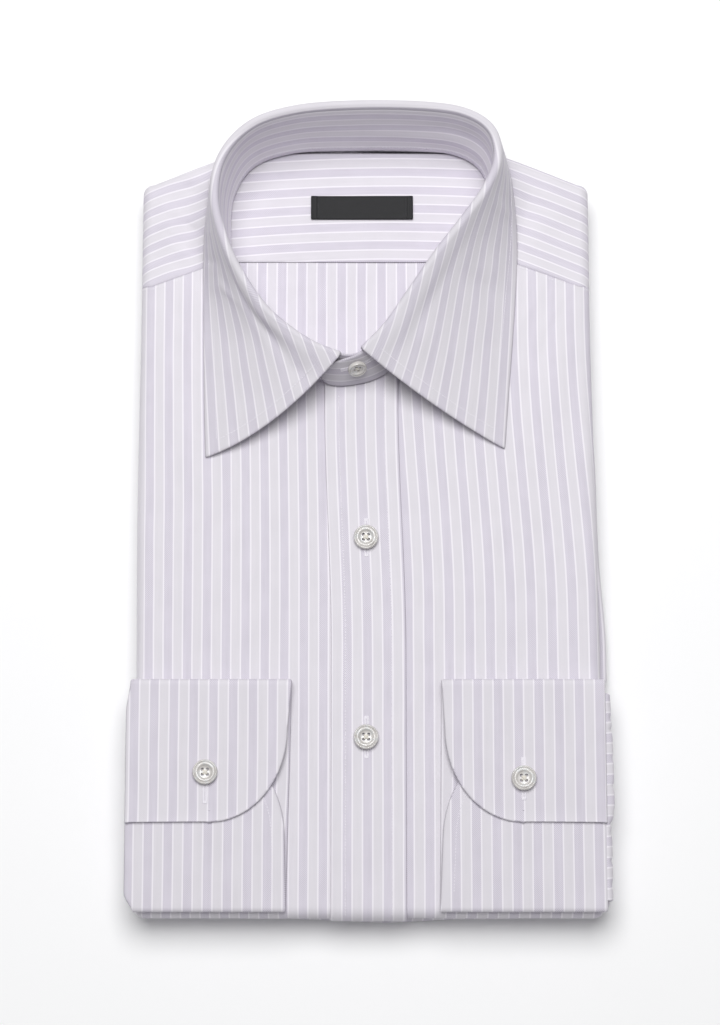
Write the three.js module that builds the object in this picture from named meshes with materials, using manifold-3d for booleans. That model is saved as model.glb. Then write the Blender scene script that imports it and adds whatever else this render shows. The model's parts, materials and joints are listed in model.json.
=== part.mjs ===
// A long sleeve dress shirt, pressed and folded for the shelf, lying on its folded back.
// Millimetres. X runs across the shirt, Y from the hem fold up to the collar, Z up from the
// surface it lies on. The origin is under the middle of the folded shirt.
import * as THREE from "three";
import { mergeVertices } from "three/addons/utils/BufferGeometryUtils.js";
import Module from "manifold-3d";

const wasm = await Module();
wasm.setup();

// Driving sizes of the folded body
const halfWidth = 110.5; // middle to a side fold
const hemY = -192.5; // the fold across the bottom
const backNeckY = 184; // the fold across the top, behind the neck
const shoulderFlat = 55; // half the straight stretch of that fold
const shoulderSlope = 0.39; // how fast the shoulders fall away from it
const shoulderSoftness = 5; // how gently the one runs into the other
const foldRadius = 5.2; // outside of the fronts where they turn under
const foldCentreZ = 18; // height of that turn's centre
const underTurn = THREE.MathUtils.degToRad(150); // how far the cloth turns under
const drift = { reach: 1.6, fromY: 80, toY: -170 }; // both lower side folds lie over to the shirt's left
const taper = { right: 1, left: 1.2, fromX: 80, fromY: -20, toY: 110 }; // the sides draw in higher up
const wall = 1;
const gap = 0.3;
const pitch = wall + gap;
const clothTopZ = foldCentreZ + foldRadius;

// Seams
const searchSteps = 400; // fineness of the search for where two seams meet
const yokeSeamY = 111.9; // yoke to front, at the side fold
const yokeSeamSlope = 0.36;
const innerSeamY = 124.3; // yoke to back, seen through the neck
const placket = {
  left: -16.6,
  right: 19,
  lean: -3.4, // how far its top lies over to the wearer's right
  leanFromY: -65,
  leanToY: 55,
  underlap: 12.7, // where the two fronts meet under it
  turn: THREE.MathUtils.degToRad(100),
};
const innerTurn = { back: 0.9, shoulder: 0.2 }; // how far the inner yoke turns down behind
const innerReach = 103; // half width of the back and the inner yoke, under the fronts

// Collar
const collarWall = 1.2;
const foldRoll = 1.5; // middle radius of the leaf where it turns over
const leafSeamDrop = 2.7; // leaf's sewn edge below its fold
const standTopDrop = 3; // stand's top edge below the leaf's fold
const leafSag = { depth: 2.2, narrow: 12, wide: 40 }; // hollow of the leaf, only where it spreads wide
const neckSeam = 0.3; // neck edge of the body, out from the middle of the stand's foot
const tabLift = 0.95; // each lapped end of the stand, off its middle line

// Cuffs and sleeve ends. Distances across are from the middle of the shirt.
const cuff = {
  wall: 1.3,
  topY: -81.3,
  bottomY: -189.2,
  lapEndY: -148, // free end that carries the buttonhole
  underEndY: -110, // free end that carries the button
  cornerAlong: 36,
  cornerAcross: 44,
  bottomZ: 24.2,
  underZ: 26.4,
  lapZ: 28,
};
const sleeve = { wall: 2, lowZ: 1.3, low: -184, high: -88, shoulderRadius: 4.5, footRadius: 3.5 };

// Each arm's cuff and sleeve end. wrist lists where the wrist edge lies at the button end, the low
// fold, the high fold and the buttonhole end. startX and topZ are where the sleeve's strip begins.
const arms = [
  {
    word: "right",
    side: -1,
    wrist: [39.8, 38.2, 35.8, 37.6],
    seamX: 112.3,
    startX: 108.6,
    topZ: 22.2,
    outX: 110.6,
    footTurn: 8,
    buttonX: 75.6,
    buttonY: -124.8,
  },
  {
    word: "left",
    side: 1,
    wrist: [38.4, 35.2, 36.3, 37.6],
    seamX: 112.3,
    startX: 112.6,
    topZ: 26.2,
    outX: 115.4,
    footTurn: 50,
    buttonX: 74,
    buttonY: -127.6,
  },
];

// Buttons: four holes, a raised rim
const button = {
  radius: 5.9,
  collarRadius: 4.6,
  thick: 2.6,
  rim: 0.6, // height of the rim above the middle
  rimWidth: 1.6,
  rimSlope: 0.6,
  round: 0.5, // upper edge
  backRound: 0.9, // lower edge
  hole: 0.85,
  spread: 1.45, // middle to a hole
};
const collarSeat = { pastEnd: 1.5, up: 0.66 }; // stations past the leaf's end, share of the stand's height
const frontButtonsY = [-12.4, -108];
const label = { x: -1.9, y: 151.8, width: 50, height: 12 };

const cloth = new THREE.MeshStandardMaterial({ color: 0xdcd8e6, roughness: 0.85, metalness: 0 });
const collarCloth = new THREE.MeshStandardMaterial({ color: 0xe0dde8, roughness: 0.8, metalness: 0 });
const pearl = new THREE.MeshStandardMaterial({ color: 0xd9d4cb, roughness: 0.3, metalness: 0 });
const blackSatin = new THREE.MeshStandardMaterial({ color: 0x1b1a1c, roughness: 0.55, metalness: 0 });

// Reads rows of numbers under a list of named columns.
function table(columns, rows) {
  return rows.map((row) => Object.fromEntries(columns.map((name, i) => [name, row[i]])));
}

// Stations round the neck, clockwise from the shirt's right front end: the fold of the leaf,
// the foot of the stand, the leaf's outer edge, and how far the cloth between bows towards the hem.
// The first and last edges are the points.
const neckColumns = ["foldX", "foldY", "foldZ", "baseX", "baseY", "baseZ", "edgeX", "edgeY", "edgeZ", "bow"];
const neck = table(neckColumns, [
  [-12.4, 74, 46, -14.5, 63.5, 25.3, -76.8, 27.2, 24.3, 6],
  [-24, 78.5, 46.8, -27, 67.5, 24.6, -77.6, 50, 24.3, 3.2],
  [-36, 86, 48, -39.5, 75.5, 24, -78.1, 75, 24.3, 0.8],
  [-48, 96.5, 50.2, -50, 84.5, 24, -78.5, 98, 24.3, 0],
  [-59, 112.2, 53.5, -59, 101, 24, -78.8, 119, 24.3, 0],
  [-66.5, 128, 56.8, -64.5, 117.5, 24, -78.5, 136, 24.4, 0],
  [-71, 147, 59.5, -66.5, 137.5, 24, -77.2, 152.5, 24.5, 0],
  [-67.5, 166, 61.4, -64.8, 157, 24, -74, 170.8, 24.8, 0],
  [-54, 181, 62, -55, 172.5, 24, -59.5, 186.5, 24, 0],
  [-33, 188.2, 62, -35, 179.6, 24, -35, 191.6, 21, 0],
  [-5, 190.6, 62, -6, 181, 24, -5, 192.8, 20, 0],
  [25, 190.2, 62, 24, 180.8, 24, 26, 192.6, 20, 0],
  [46, 187.2, 62, 43.5, 178.6, 24, 49, 190, 21.5, 0],
  [58.5, 179.5, 61.4, 56, 171, 24, 64.6, 183.5, 24, 0],
  [61.5, 166.5, 60, 61, 157, 24, 70.3, 168, 24.8, 0],
  [56, 152.5, 58.5, 59, 141, 24, 72.6, 149, 24.5, 0],
  [46, 138.5, 56.5, 52.5, 124, 24, 73.4, 127, 24.3, 0],
  [33, 122, 53.8, 42, 106.5, 24, 72.1, 103, 24.3, 0],
  [20, 103.5, 50.5, 30, 88.5, 24, 70.3, 79, 24.3, 0.2],
  [8.6, 87.5, 48, 18, 75.5, 24.6, 68.2, 54, 24.3, 1],
  [-2.4, 76.5, 46, 5, 66.5, 25.3, 66.5, 31.5, 24.3, 1.9],
]);
const lastStation = neck.length - 1;

// The stand's two lapped ends, past the leaf's ends. low and high are the shares of its height kept.
const standColumns = [...neckColumns.slice(0, 6), "low", "high"];
const tabEnd = table(standColumns, [
  [-11.5, 72.6, 45, -8, 63.2, 25.4, 0, 1],
  [-19, 72.4, 43.5, -17, 63.2, 25.4, 0.02, 0.88],
  [-22.5, 73, 43, -20.5, 64.4, 25.4, 0.16, 0.62],
]);
const underEnd = table(standColumns, [
  [-3, 74.6, 45.6, -3, 64, 25.3, 0, 1],
  [7, 83, 46.5, 9, 70.5, 24.8, 0.05, 0.9],
]);

// Soft ridges left in the pressed fronts: middle, half length and half width, lean in degrees, height
const ridges = table(["x", "y", "length", "width", "lean", "height"], [
  [-94, 60, 46, 7, 4, 0.7],
  [-48, -12, 60, 9, -3, 0.6],
  [92, 66, 40, 8, -14, 0.9],
  [60, -20, 52, 9, 6, 0.6],
  [-86, -38, 34, 6, 8, 0.5],
  [97, -42, 30, 6, -5, 0.5],
]);

// Spreads count + 1 values evenly from first to last.
const even = (first, last, count) =>
  Array.from({ length: count + 1 }, (_, i) => first + ((last - first) * i) / count);

// A closed cloth wall round its middle surface point(u, v). us and vs both run upwards.
function clothWall(us, vs, point, thickness) {
  const nudge = 1e-3;
  const columns = us.length;
  const rows = vs.length;
  const positions = [[], []];
  for (const v of vs)
    for (const u of us) {
      const middle = point(u, v);
      const alongU = point(u + nudge, v).sub(point(u - nudge, v));
      const alongV = point(u, v + nudge).sub(point(u, v - nudge));
      const normal = alongU.cross(alongV).normalize().multiplyScalar(thickness / 2);
      positions[0].push(...middle.clone().add(normal).toArray());
      positions[1].push(...middle.clone().sub(normal).toArray());
    }
  const outer = (i, j) => j * columns + i;
  const inner = (i, j) => columns * rows + outer(i, j);
  const faces = [];
  const quad = (a, b, c, d) => faces.push(a, b, c, a, c, d);
  for (let j = 0; j < rows - 1; j++)
    for (let i = 0; i < columns - 1; i++) {
      quad(outer(i, j), outer(i + 1, j), outer(i + 1, j + 1), outer(i, j + 1));
      quad(inner(i, j), inner(i, j + 1), inner(i + 1, j + 1), inner(i + 1, j));
    }
  for (let i = 0; i < columns - 1; i++) {
    quad(outer(i, 0), inner(i, 0), inner(i + 1, 0), outer(i + 1, 0));
    quad(outer(i + 1, rows - 1), inner(i + 1, rows - 1), inner(i, rows - 1), outer(i, rows - 1));
  }
  for (let j = 0; j < rows - 1; j++) {
    quad(outer(0, j + 1), inner(0, j + 1), inner(0, j), outer(0, j));
    quad(outer(columns - 1, j), inner(columns - 1, j), inner(columns - 1, j + 1), outer(columns - 1, j + 1));
  }
  return closedGeometry(positions.flat(), faces);
}

function closedGeometry(positions, faces) {
  const geometry = new THREE.BufferGeometry();
  geometry.setAttribute("position", new THREE.Float32BufferAttribute(positions, 3));
  geometry.setIndex(faces);
  geometry.computeVertexNormals();
  return geometry;
}

function named(name, geometry, material) {
  const mesh = new THREE.Mesh(geometry, material);
  mesh.name = name;
  return mesh;
}

// The fold line across the top: straight behind the neck, then falling along each shoulder.
function shoulderFoldY(x) {
  const past = Math.abs(x) - shoulderFlat;
  return backNeckY - shoulderSlope * shoulderSoftness * Math.log1p(Math.exp(past / shoulderSoftness));
}

// Height that the soft ridges add to the fronts.
function ridgeHeight(x, y) {
  return ridges.reduce((height, ridge) => {
    const lean = THREE.MathUtils.degToRad(ridge.lean);
    const across = (x - ridge.x) * Math.cos(lean) + (y - ridge.y) * Math.sin(lean);
    const along = (y - ridge.y) * Math.cos(lean) - (x - ridge.x) * Math.sin(lean);
    return height + ridge.height * Math.exp(-((across / ridge.width) ** 2) - (along / ridge.length) ** 2);
  }, 0);
}

// The shirt is folded slightly askew: below the chest its sides drift over, above it they draw in,
// and its middle stays.
function askew(x, y) {
  const over = drift.reach * (x / halfWidth) ** 2 * THREE.MathUtils.smoothstep(-y, -drift.fromY, -drift.toY);
  const nearSide = THREE.MathUtils.smoothstep(Math.abs(x), taper.fromX, halfWidth);
  const drawn = nearSide * THREE.MathUtils.smoothstep(y, taper.fromY, taper.toY);
  return x + over - Math.sign(x) * (x < 0 ? taper.right : taper.left) * drawn;
}

// Cloth laid over the folded body. x and y measure along the cloth, and past a fold they run round it.
// depth is how far the cloth lies inside the outermost layer's outside.
function foldedPoint(x, y, depth, relief = 0) {
  const radius = foldRadius - depth;
  const flatX = THREE.MathUtils.clamp(x, foldRadius - halfWidth, halfWidth - foldRadius);
  const flatTop = shoulderFoldY(flatX) - foldRadius;
  const flatY = THREE.MathUtils.clamp(y, hemY + foldRadius, flatTop);
  const a = (x - flatX) / foldRadius;
  const b = (y - flatY) / foldRadius;
  const square = 2 * underTurn ** 2;
  const turnX = a * Math.sqrt(Math.max(0, 1 - b ** 2 / square));
  const turnY = b * Math.sqrt(Math.max(0, 1 - a ** 2 / square));
  const turn = Math.hypot(turnX, turnY);
  const reach = turn < 1e-6 ? radius : (radius * Math.sin(turn)) / turn;
  const rise = relief * Math.max(0, Math.cos(turn));
  const height = foldCentreZ + radius * Math.cos(turn) + rise;
  const foldedY = flatY + reach * turnY;
  return new THREE.Vector3(askew(flatX + reach * turnX, foldedY), foldedY, height);
}

// A smooth open line through stations: t from 0 to 1 gives the values of the named columns there.
function alongStations(rows, columns) {
  const curves = [];
  for (let c = 0; c < columns.length; c += 3) {
    const points = rows.map((row) => new THREE.Vector3(...[0, 1, 2].map((k) => row[columns[c + k]] ?? 0)));
    curves.push(new THREE.CatmullRomCurve3(points, false, "catmullrom", 0.5));
  }
  return (t) => curves.map((curve) => curve.getPoint(THREE.MathUtils.clamp(t, 0, 1)));
}

// The neck edge of the body at a station: the foot of the stand, moved out a little.
const neckLoop = new THREE.CatmullRomCurve3(
  neck.map((row) => new THREE.Vector3(row.baseX, row.baseY, 0)),
  true,
  "catmullrom",
  0.5,
);
function neckEdge(station) {
  const along = neckLoop.getTangent(station / neck.length);
  const out = new THREE.Vector3(-along.y, along.x, 0).multiplyScalar(neckSeam);
  return neckLoop.getPoint(station / neck.length).add(out);
}
const neckHole = even(0, neck.length, 8 * neck.length).map(neckEdge);
const neckLeft = Math.min(...neckHole.map((p) => p.x));
const neckRight = Math.max(...neckHole.map((p) => p.x));

// Where a line of constant x crosses the neck edge, at its lowest or highest.
function neckY(x, pick) {
  const inside = THREE.MathUtils.clamp(x, neckLeft + 0.05, neckRight - 0.05);
  const found = [];
  for (let i = 1; i < neckHole.length; i++) {
    const [p, q] = [neckHole[i - 1], neckHole[i]];
    if ((p.x - inside) * (q.x - inside) <= 0 && p.x !== q.x)
      found.push(p.y + ((q.y - p.y) * (inside - p.x)) / (q.x - p.x));
  }
  return pick(...found);
}

const flatHalf = halfWidth - foldRadius;
const yokeSeam = (x) => yokeSeamY + yokeSeamSlope * Math.max(0, flatHalf - Math.abs(x));
const sideTurn = underTurn * foldRadius; // cloth that goes round a fold
const clothHalfWidth = flatHalf + sideTurn;

// Where the yoke seam runs into the neck edge, on one side (-1 is the wearer's right).
function seamMeetsNeck(side) {
  const limit = side < 0 ? neckLeft : neckRight;
  const steps = even(limit, 0, searchSteps);
  return steps.find((x) => neckY(x, Math.min) < yokeSeam(x)) ?? limit;
}

// A front from the hem fold to the neck and yoke seams, between two lines of constant x.
function front(name, columns) {
  const inNeck = (x) => x > seamMeetsNeck(-1) && x < seamMeetsNeck(1);
  const top = (x) => (inNeck(x) ? neckY(x, Math.min) : yokeSeam(x) - gap / 2);
  const tops = new Map(columns.map((x) => [x, top(x)]));
  const flatLow = hemY + foldRadius;
  const topOf = (x) => {
    const nearest = columns.reduce((best, c) => (Math.abs(c - x) < Math.abs(best - x) ? c : best));
    return tops.get(nearest);
  };
  const point = (x, v) => {
    const y = v < 0 ? flatLow + v * sideTurn : flatLow + v * (topOf(x) - flatLow);
    return foldedPoint(x, y, wall / 2, ridgeHeight(x, y));
  };
  return named(name, clothWall(columns, [...even(-1, 0, 4), ...even(0, 1, 14).slice(1)], point, wall), cloth);
}
const rollColumns = even(flatHalf, clothHalfWidth, 4);
const sideToNeck = [95, 85, 77];
const nearNeck = 0.6; // the last column of the yoke seam, this far from the neck edge
function rightFront() {
  const meet = seamMeetsNeck(-1);
  const toNeck = even(meet, placket.underlap, 10);
  const sides = [...rollColumns.slice().reverse(), ...sideToNeck].map((x) => -x);
  return front("front_right", [...sides, meet - nearNeck, ...toNeck]);
}
function leftFront() {
  const meet = seamMeetsNeck(1);
  const fromNeck = even(placket.underlap + gap, meet, 7);
  return front("front_left", [...fromNeck, meet + nearNeck, ...sideToNeck.slice().reverse(), ...rollColumns]);
}

// The station where the yoke's front seam meets the neck, searched from first to last.
function seamStation(first, last) {
  return even(first, last, searchSteps).find((station) => {
    const { x, y } = neckEdge(station);
    return y > yokeSeam(x) + gap / 2;
  });
}

// The lines of the outer yoke, from the neck out to its hidden edge. across is a share of the half
// width, up a share of the side above the seam, and turnX and turnY say which folds the line goes round.
const yokeLines = table(["station", "across", "up", "turnX", "turnY"], [
  [seamStation(5, 7), -1, 0, -1, 0],
  [5.9, -1, 0.33, -1, 0],
  [6.35, -1, 0.67, -1, 0],
  [6.8, -1, 1, -1, 1],
  [7.1, -0.9, 1, 0, 1],
  [7.5, -0.78, 1, 0, 1],
  [7.9, -0.66, 1, 0, 1],
  [8.3, -0.54, 1, 0, 1],
  [8.8, -0.4, 1, 0, 1],
  [9.5, -0.21, 1, 0, 1],
  [10.5, 0.08, 1, 0, 1],
  [11.3, 0.29, 1, 0, 1],
  [11.9, 0.42, 1, 0, 1],
  [12.4, 0.54, 1, 0, 1],
  [12.8, 0.66, 1, 0, 1],
  [13.2, 0.78, 1, 0, 1],
  [13.6, 0.9, 1, 0, 1],
  [14, 1, 1, 1, 1],
  [14.5, 1, 0.67, 1, 0],
  [15, 1, 0.33, 1, 0],
  [seamStation(17, 15), 1, 0, 1, 0],
]);

// A table read at a row number with a fraction.
function between(rows, place) {
  const i = THREE.MathUtils.clamp(Math.floor(place), 0, rows.length - 2);
  const mixed = {};
  for (const [key, value] of Object.entries(rows[i]))
    mixed[key] = value + (rows[i + 1][key] - value) * (place - i);
  return mixed;
}

// The outer yoke: over both shoulders and behind the neck, then round the top and side folds.
function outerYoke() {
  const flatTop = (x) => shoulderFoldY(x) - foldRadius;
  const seamEnd = yokeSeam(flatHalf) + gap / 2;
  const point = (u, v) => {
    const line = between(yokeLines, u);
    const x = line.across * flatHalf;
    const y = line.up < 1 ? seamEnd + line.up * (flatTop(flatHalf) - seamEnd) : flatTop(x);
    const start = neckEdge(line.station);
    const flatEnd = new THREE.Vector3(x, Math.max(y, line.up < 1 ? y : start.y), 0);
    const end = new THREE.Vector3(x + line.turnX * sideTurn, y + line.turnY * sideTurn, 0);
    const at = v < 0 ? start.lerp(flatEnd, v + 1) : flatEnd.lerp(end, v);
    return foldedPoint(at.x, at.y, wall / 2);
  };
  const rows = [-1, -0.5, ...even(0, 1, 4)];
  const last = yokeLines.length - 1;
  return named("yoke_outer", clothWall(even(0, last, last), rows, point, wall), cloth);
}

// The back and the inner yoke lie flat under the fronts and show through the neck.
function backPanel() {
  const low = hemY + foldRadius + wall;
  const point = (x, v) => foldedPoint(x, low + v * (innerSeamY - gap / 2 - low), pitch + wall / 2);
  return named("back", clothWall(even(-innerReach, innerReach, 6), even(0, 1, 8), point, wall), cloth);
}
function innerYoke() {
  const low = innerSeamY + gap / 2;
  const point = (x, v) => {
    const flat = shoulderFoldY(x) - foldRadius;
    const turn = Math.abs(x) < shoulderFlat ? innerTurn.back : innerTurn.shoulder;
    return foldedPoint(x, v <= 1 ? low + v * (flat - low) : flat + (v - 1) * turn, pitch + wall / 2);
  };
  const xs = even(-innerReach, innerReach, 18);
  return named("yoke_inner", clothWall(xs, [0, 0.5, 1, 2], point, wall), cloth);
}

// The buttonhole band, on top of both fronts, from the neck to the hem fold. Its upper part leans.
function placketBand() {
  const columns = even(placket.left, placket.right, 6);
  const low = hemY + foldRadius;
  const tops = new Map(columns.map((x) => [x, neckY(x + placket.lean, Math.min)]));
  const point = (column, v) => {
    const nearest = columns.reduce((best, c) => (Math.abs(c - column) < Math.abs(best - column) ? c : best));
    const y = v < 0 ? low + v * placket.turn * foldRadius : low + v * (tops.get(nearest) - low);
    const x = column + placket.lean * THREE.MathUtils.smoothstep(y, placket.leanFromY, placket.leanToY);
    return foldedPoint(x, y, -gap - wall / 2, ridgeHeight(x, y));
  };
  const rows = [...even(-1, 0, 3), ...even(0, 1, 14).slice(1)];
  return named("placket", clothWall(columns, rows, point, wall), cloth);
}

// The hidden layers: back folds, tails and sleeves pressed into one stack.
// A row for each change of its edge: height, and how far it lies inside the folded outline.
const stackEdge = table(["z", "inset"], [
  [0, 2.2],
  [0.8, 0.7],
  [3.3, 0],
  [5.9, 0.8],
  [6.6, 2.6],
  [6.8, 4.2],
  [7, 2.5],
  [7.8, 0.8],
  [10, 0.1],
  [12.2, 0.9],
  [13, 2.8],
  [13.1, 9],
  [15.3, 9],
  [15.4, 5.2],
  [16.2, 3.3],
  [18, 2.6],
  [19.8, 3.3],
  [20.6, 5.2],
]);

const stackCorner = {
  least: 0.8, // smallest radius of a lower corner
  sideY: [-120, -40, 40, 110], // points up a side
  topShares: [1, 0.93, 0.8, 0.68, 0.56, 0.4, 0.2], // points along a shoulder, as shares of the half width
};

// The folded outline as seen from above, moved in by inset, with rounded corners.
function outlineRing(inset) {
  const cornerRadius = Math.max(foldRadius - inset, stackCorner.least);
  const side = halfWidth - inset;
  const low = hemY + inset;
  const ring = [];
  for (const turn of even(270, 360, 3).map(THREE.MathUtils.degToRad))
    ring.push([side - cornerRadius * (1 - Math.cos(turn)), low + cornerRadius * (1 + Math.sin(turn))]);
  for (const y of stackCorner.sideY) ring.push([side, y]);
  const topY = (x) => shoulderFoldY(x) - inset * Math.hypot(1, shoulderSlope);
  for (const share of [...stackCorner.topShares, 0]) ring.push([side * share, topY(side * share)]);
  const mirrored = ring.slice(0, -1).map(([x, y]) => [-x, y]).reverse();
  return [...ring, ...mirrored];
}
function foldedLayers() {
  const rings = stackEdge.map((row) => outlineRing(row.inset).map(([x, y]) => [askew(x, y), y, row.z]));
  const count = rings[0].length;
  const positions = rings.flat(2);
  const centre = [0, 0];
  const below = rings.length * count;
  positions.push(...centre, stackEdge[0].z, ...centre, stackEdge[stackEdge.length - 1].z);
  const faces = [];
  for (let k = 0; k < count; k++) {
    const next = (k + 1) % count;
    for (let r = 0; r < rings.length - 1; r++) {
      const [a, b] = [r * count + k, r * count + next];
      faces.push(a, b, b + count, a, b + count, a + count);
    }
    const last = (rings.length - 1) * count;
    faces.push(below, next, k, below + 1, last + k, last + next);
  }
  return named("folded_layers", closedGeometry(positions, faces), cloth);
}

// The stand at a share t of its length: its fold, its foot, the way up it and the way out of the ring.
function standFrame(at, t) {
  const nudge = 1e-3;
  const values = at(t);
  const [fold, base] = values;
  const up = fold.clone().sub(base).normalize();
  const ahead = at(t + nudge);
  const behind = at(t - nudge);
  const along = ahead[0].add(ahead[1]).sub(behind[0]).sub(behind[1]);
  const out = up.clone().cross(along).normalize();
  return { fold, base, up, out, rest: values.slice(2) };
}

// The leaf: its sewn edge, over the fold, then down to its outer edge, all on one wall.
function collarLeaf() {
  const at = alongStations(neck, [...neckColumns.slice(0, 9), "none", "bow"]);
  const point = (t, v) => {
    const { fold, up, out, rest } = standFrame(at, t / lastStation);
    const [edge, bow] = rest;
    const start = fold.clone().addScaledVector(up, -foldRoll);
    const onRoll = (turn) => {
      const risen = start.clone().addScaledVector(up, foldRoll * Math.sin(turn));
      return risen.addScaledVector(out, foldRoll * (1 - Math.cos(turn)));
    };
    let turn = Math.PI / 2;
    for (let i = 0; i < 12; i++) {
      const away = edge.clone().sub(onRoll(turn));
      turn = Math.atan2(away.dot(out), away.dot(up));
    }
    if (v < 0) return start.addScaledVector(up, v * (leafSeamDrop - foldRoll));
    if (v <= 1) return onRoll(turn * v);
    const share = v - 1;
    const fall = onRoll(turn).lerp(edge, share).addScaledVector(bow, -4 * share * (1 - share));
    const reach = Math.hypot(edge.x - fold.x, edge.y - fold.y);
    const spread = THREE.MathUtils.smoothstep(reach, leafSag.narrow, leafSag.wide);
    fall.z -= leafSag.depth * spread * 4 * share * (1 - share);
    return fall;
  };
  const rows = [-1, ...even(0, 1, 3), ...even(1, 2, 5).slice(1)];
  const ts = even(0, lastStation, 2 * lastStation);
  return named("collar_leaf", clothWall(ts, rows, point, collarWall), collarCloth);
}

// The stand: a band round the neck whose ends lap at the front, the wearer's left over the right.
function lapLift(station) {
  if (station <= 1) return -tabLift;
  return station >= lastStation - 1 ? tabLift : 0;
}
const standRows = [
  ...underEnd.map((row) => ({ ...row, off: -tabLift })).reverse(),
  ...neck.map((row, i) => ({ ...row, low: 0, high: 1, off: lapLift(i) })),
  ...tabEnd.map((row) => ({ ...row, off: tabLift })),
];
const lastStandRow = standRows.length - 1;
const alongStand = alongStations(standRows, [...standColumns, "off"]);
function onStand(t, v, lift = 0) {
  const { fold, base, up, out, rest } = standFrame(alongStand, t / lastStandRow);
  const [kept] = rest;
  const height = fold.distanceTo(base) - standTopDrop;
  const share = kept.x + (kept.y - kept.x) * v;
  return { position: base.addScaledVector(up, share * height).addScaledVector(out, kept.z + lift), out };
}
function collarStand() {
  const ts = even(0, lastStandRow, 2 * lastStandRow);
  const point = (t, v) => onStand(t, v).position;
  return named("collar_stand", clothWall(ts, even(0, 1, 3), point, collarWall), collarCloth);
}

// How far a cuff's wrist edge lies inside its full depth, near a free end, because the corner is round.
function cornerInset(toEnd) {
  const share = THREE.MathUtils.clamp(1 - toEnd / cuff.cornerAcross, 0, 1);
  return cuff.cornerAlong * (1 - Math.sqrt(1 - share ** 2));
}

// A buttoned cuff pressed flat: from the button end, round the low fold, under, round the high
// fold, and down to the buttonhole end. Each row is a point of that section, its distance to a free
// end, and its place in the arm's list of wrist edges.
function cuffSection() {
  const lowRadius = (cuff.underZ - cuff.bottomZ) / 2;
  const highRadius = (cuff.lapZ - cuff.bottomZ) / 2;
  const freeLength = cuff.underEndY - cuff.bottomY;
  const rows = [];
  for (const turn of even(0, Math.PI / 2, 7)) {
    const toEnd = cuff.cornerAcross * (1 - Math.cos(turn));
    rows.push({ y: cuff.underEndY - toEnd, z: cuff.underZ, toEnd, place: toEnd / freeLength });
  }
  for (const turn of even(0, Math.PI, 5))
    rows.push({
      y: cuff.bottomY + lowRadius - lowRadius * Math.sin(turn),
      z: cuff.bottomZ + lowRadius * (1 + Math.cos(turn)),
      toEnd: freeLength,
      place: 1,
    });
  for (const turn of even(Math.PI, 0, 6))
    rows.push({
      y: cuff.topY - highRadius + highRadius * Math.sin(turn),
      z: cuff.bottomZ + highRadius * (1 + Math.cos(turn)),
      toEnd: cuff.topY - cuff.lapEndY,
      place: 2,
    });
  for (const turn of even(Math.PI / 2, 0, 9)) {
    const toEnd = cuff.cornerAcross * (1 - Math.cos(turn));
    rows.push({ y: cuff.lapEndY + toEnd, z: cuff.lapZ, toEnd, place: 3 });
  }
  return rows;
}
function cuffPiece(arm) {
  const rows = cuffSection();
  const wrists = arm.wrist.map((x) => ({ x }));
  const point = (u, v) => {
    const { y, z, toEnd, place } = between(rows, v);
    const wrist = between(wrists, place).x + cornerInset(toEnd);
    return new THREE.Vector3(arm.side * (wrist + (arm.seamX - wrist) * u), y, z);
  };
  const last = rows.length - 1;
  const vs = even(0, last, last);
  return named(`cuff_${arm.word}`, clothWall(even(0, 1, 4), vs, point, cuff.wall), collarCloth);
}

// The sleeve's end, from the cuff's seam round the side fold and under the shirt.
function sleevePiece(arm) {
  const arc = (x, z, radius, first, final, steps) =>
    even(first, final, steps).map((turn) => {
      const angle = THREE.MathUtils.degToRad(turn);
      return { x: x + radius * Math.cos(angle), z: z + radius * Math.sin(angle) };
    });
  const shoulder = Math.min(sleeve.shoulderRadius, arm.outX - arm.startX);
  const foot = sleeve.footRadius;
  const path = [
    { x: arm.startX, z: arm.topZ },
    ...arc(arm.outX - shoulder, arm.topZ - shoulder, shoulder, 80, 0, 4),
    ...arc(arm.outX - foot, sleeve.lowZ + foot, foot, 0, -arm.footTurn, 4),
  ];
  const point = (y, s) => {
    const { x, z } = between(path, s);
    return new THREE.Vector3(arm.side * x, y, z);
  };
  const last = path.length - 1;
  const ys = even(sleeve.low, sleeve.high, 3);
  return named(`sleeve_${arm.word}`, clothWall(ys, even(0, last, last), point, sleeve.wall), cloth);
}

// A closed geometry as a solid, and back.
function solidFrom(geometry) {
  const bare = geometry.clone();
  bare.deleteAttribute("normal");
  bare.deleteAttribute("uv");
  const merged = mergeVertices(bare, 1e-4);
  return new wasm.Manifold(
    new wasm.Mesh({
      numProp: 3,
      vertProperties: merged.attributes.position.array,
      triVerts: new Uint32Array(merged.index.array),
    }),
  );
}
function geometryFrom(solid) {
  const mesh = solid.getMesh();
  return closedGeometry(Array.from(mesh.vertProperties), Array.from(mesh.triVerts));
}

// A button lying on its back at the origin, facing up, with four holes through it.
function buttonGeometry(radius) {
  const size = radius / button.radius;
  const rimWidth = button.rimWidth * size;
  const profile = [
    [0, 0],
    [radius - button.backRound, 0],
    [radius, button.backRound],
    [radius, button.thick - button.round],
    [radius - button.round, button.thick],
    [radius - rimWidth, button.thick],
    [radius - rimWidth - button.rimSlope, button.thick - button.rim],
    [0, button.thick - button.rim],
  ];
  const disc = new THREE.LatheGeometry(profile.map(([x, y]) => new THREE.Vector2(x, y)), 20);
  let solid = solidFrom(disc);
  for (const [sx, sy] of [[1, 1], [1, -1], [-1, 1], [-1, -1]]) {
    const hole = new THREE.CylinderGeometry(button.hole * size, button.hole * size, 3 * button.thick, 6);
    hole.translate((sx * button.spread * size) / Math.SQRT2, 0, (sy * button.spread * size) / Math.SQRT2);
    solid = solid.subtract(solidFrom(hole));
  }
  return geometryFrom(solid).rotateX(Math.PI / 2);
}
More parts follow.
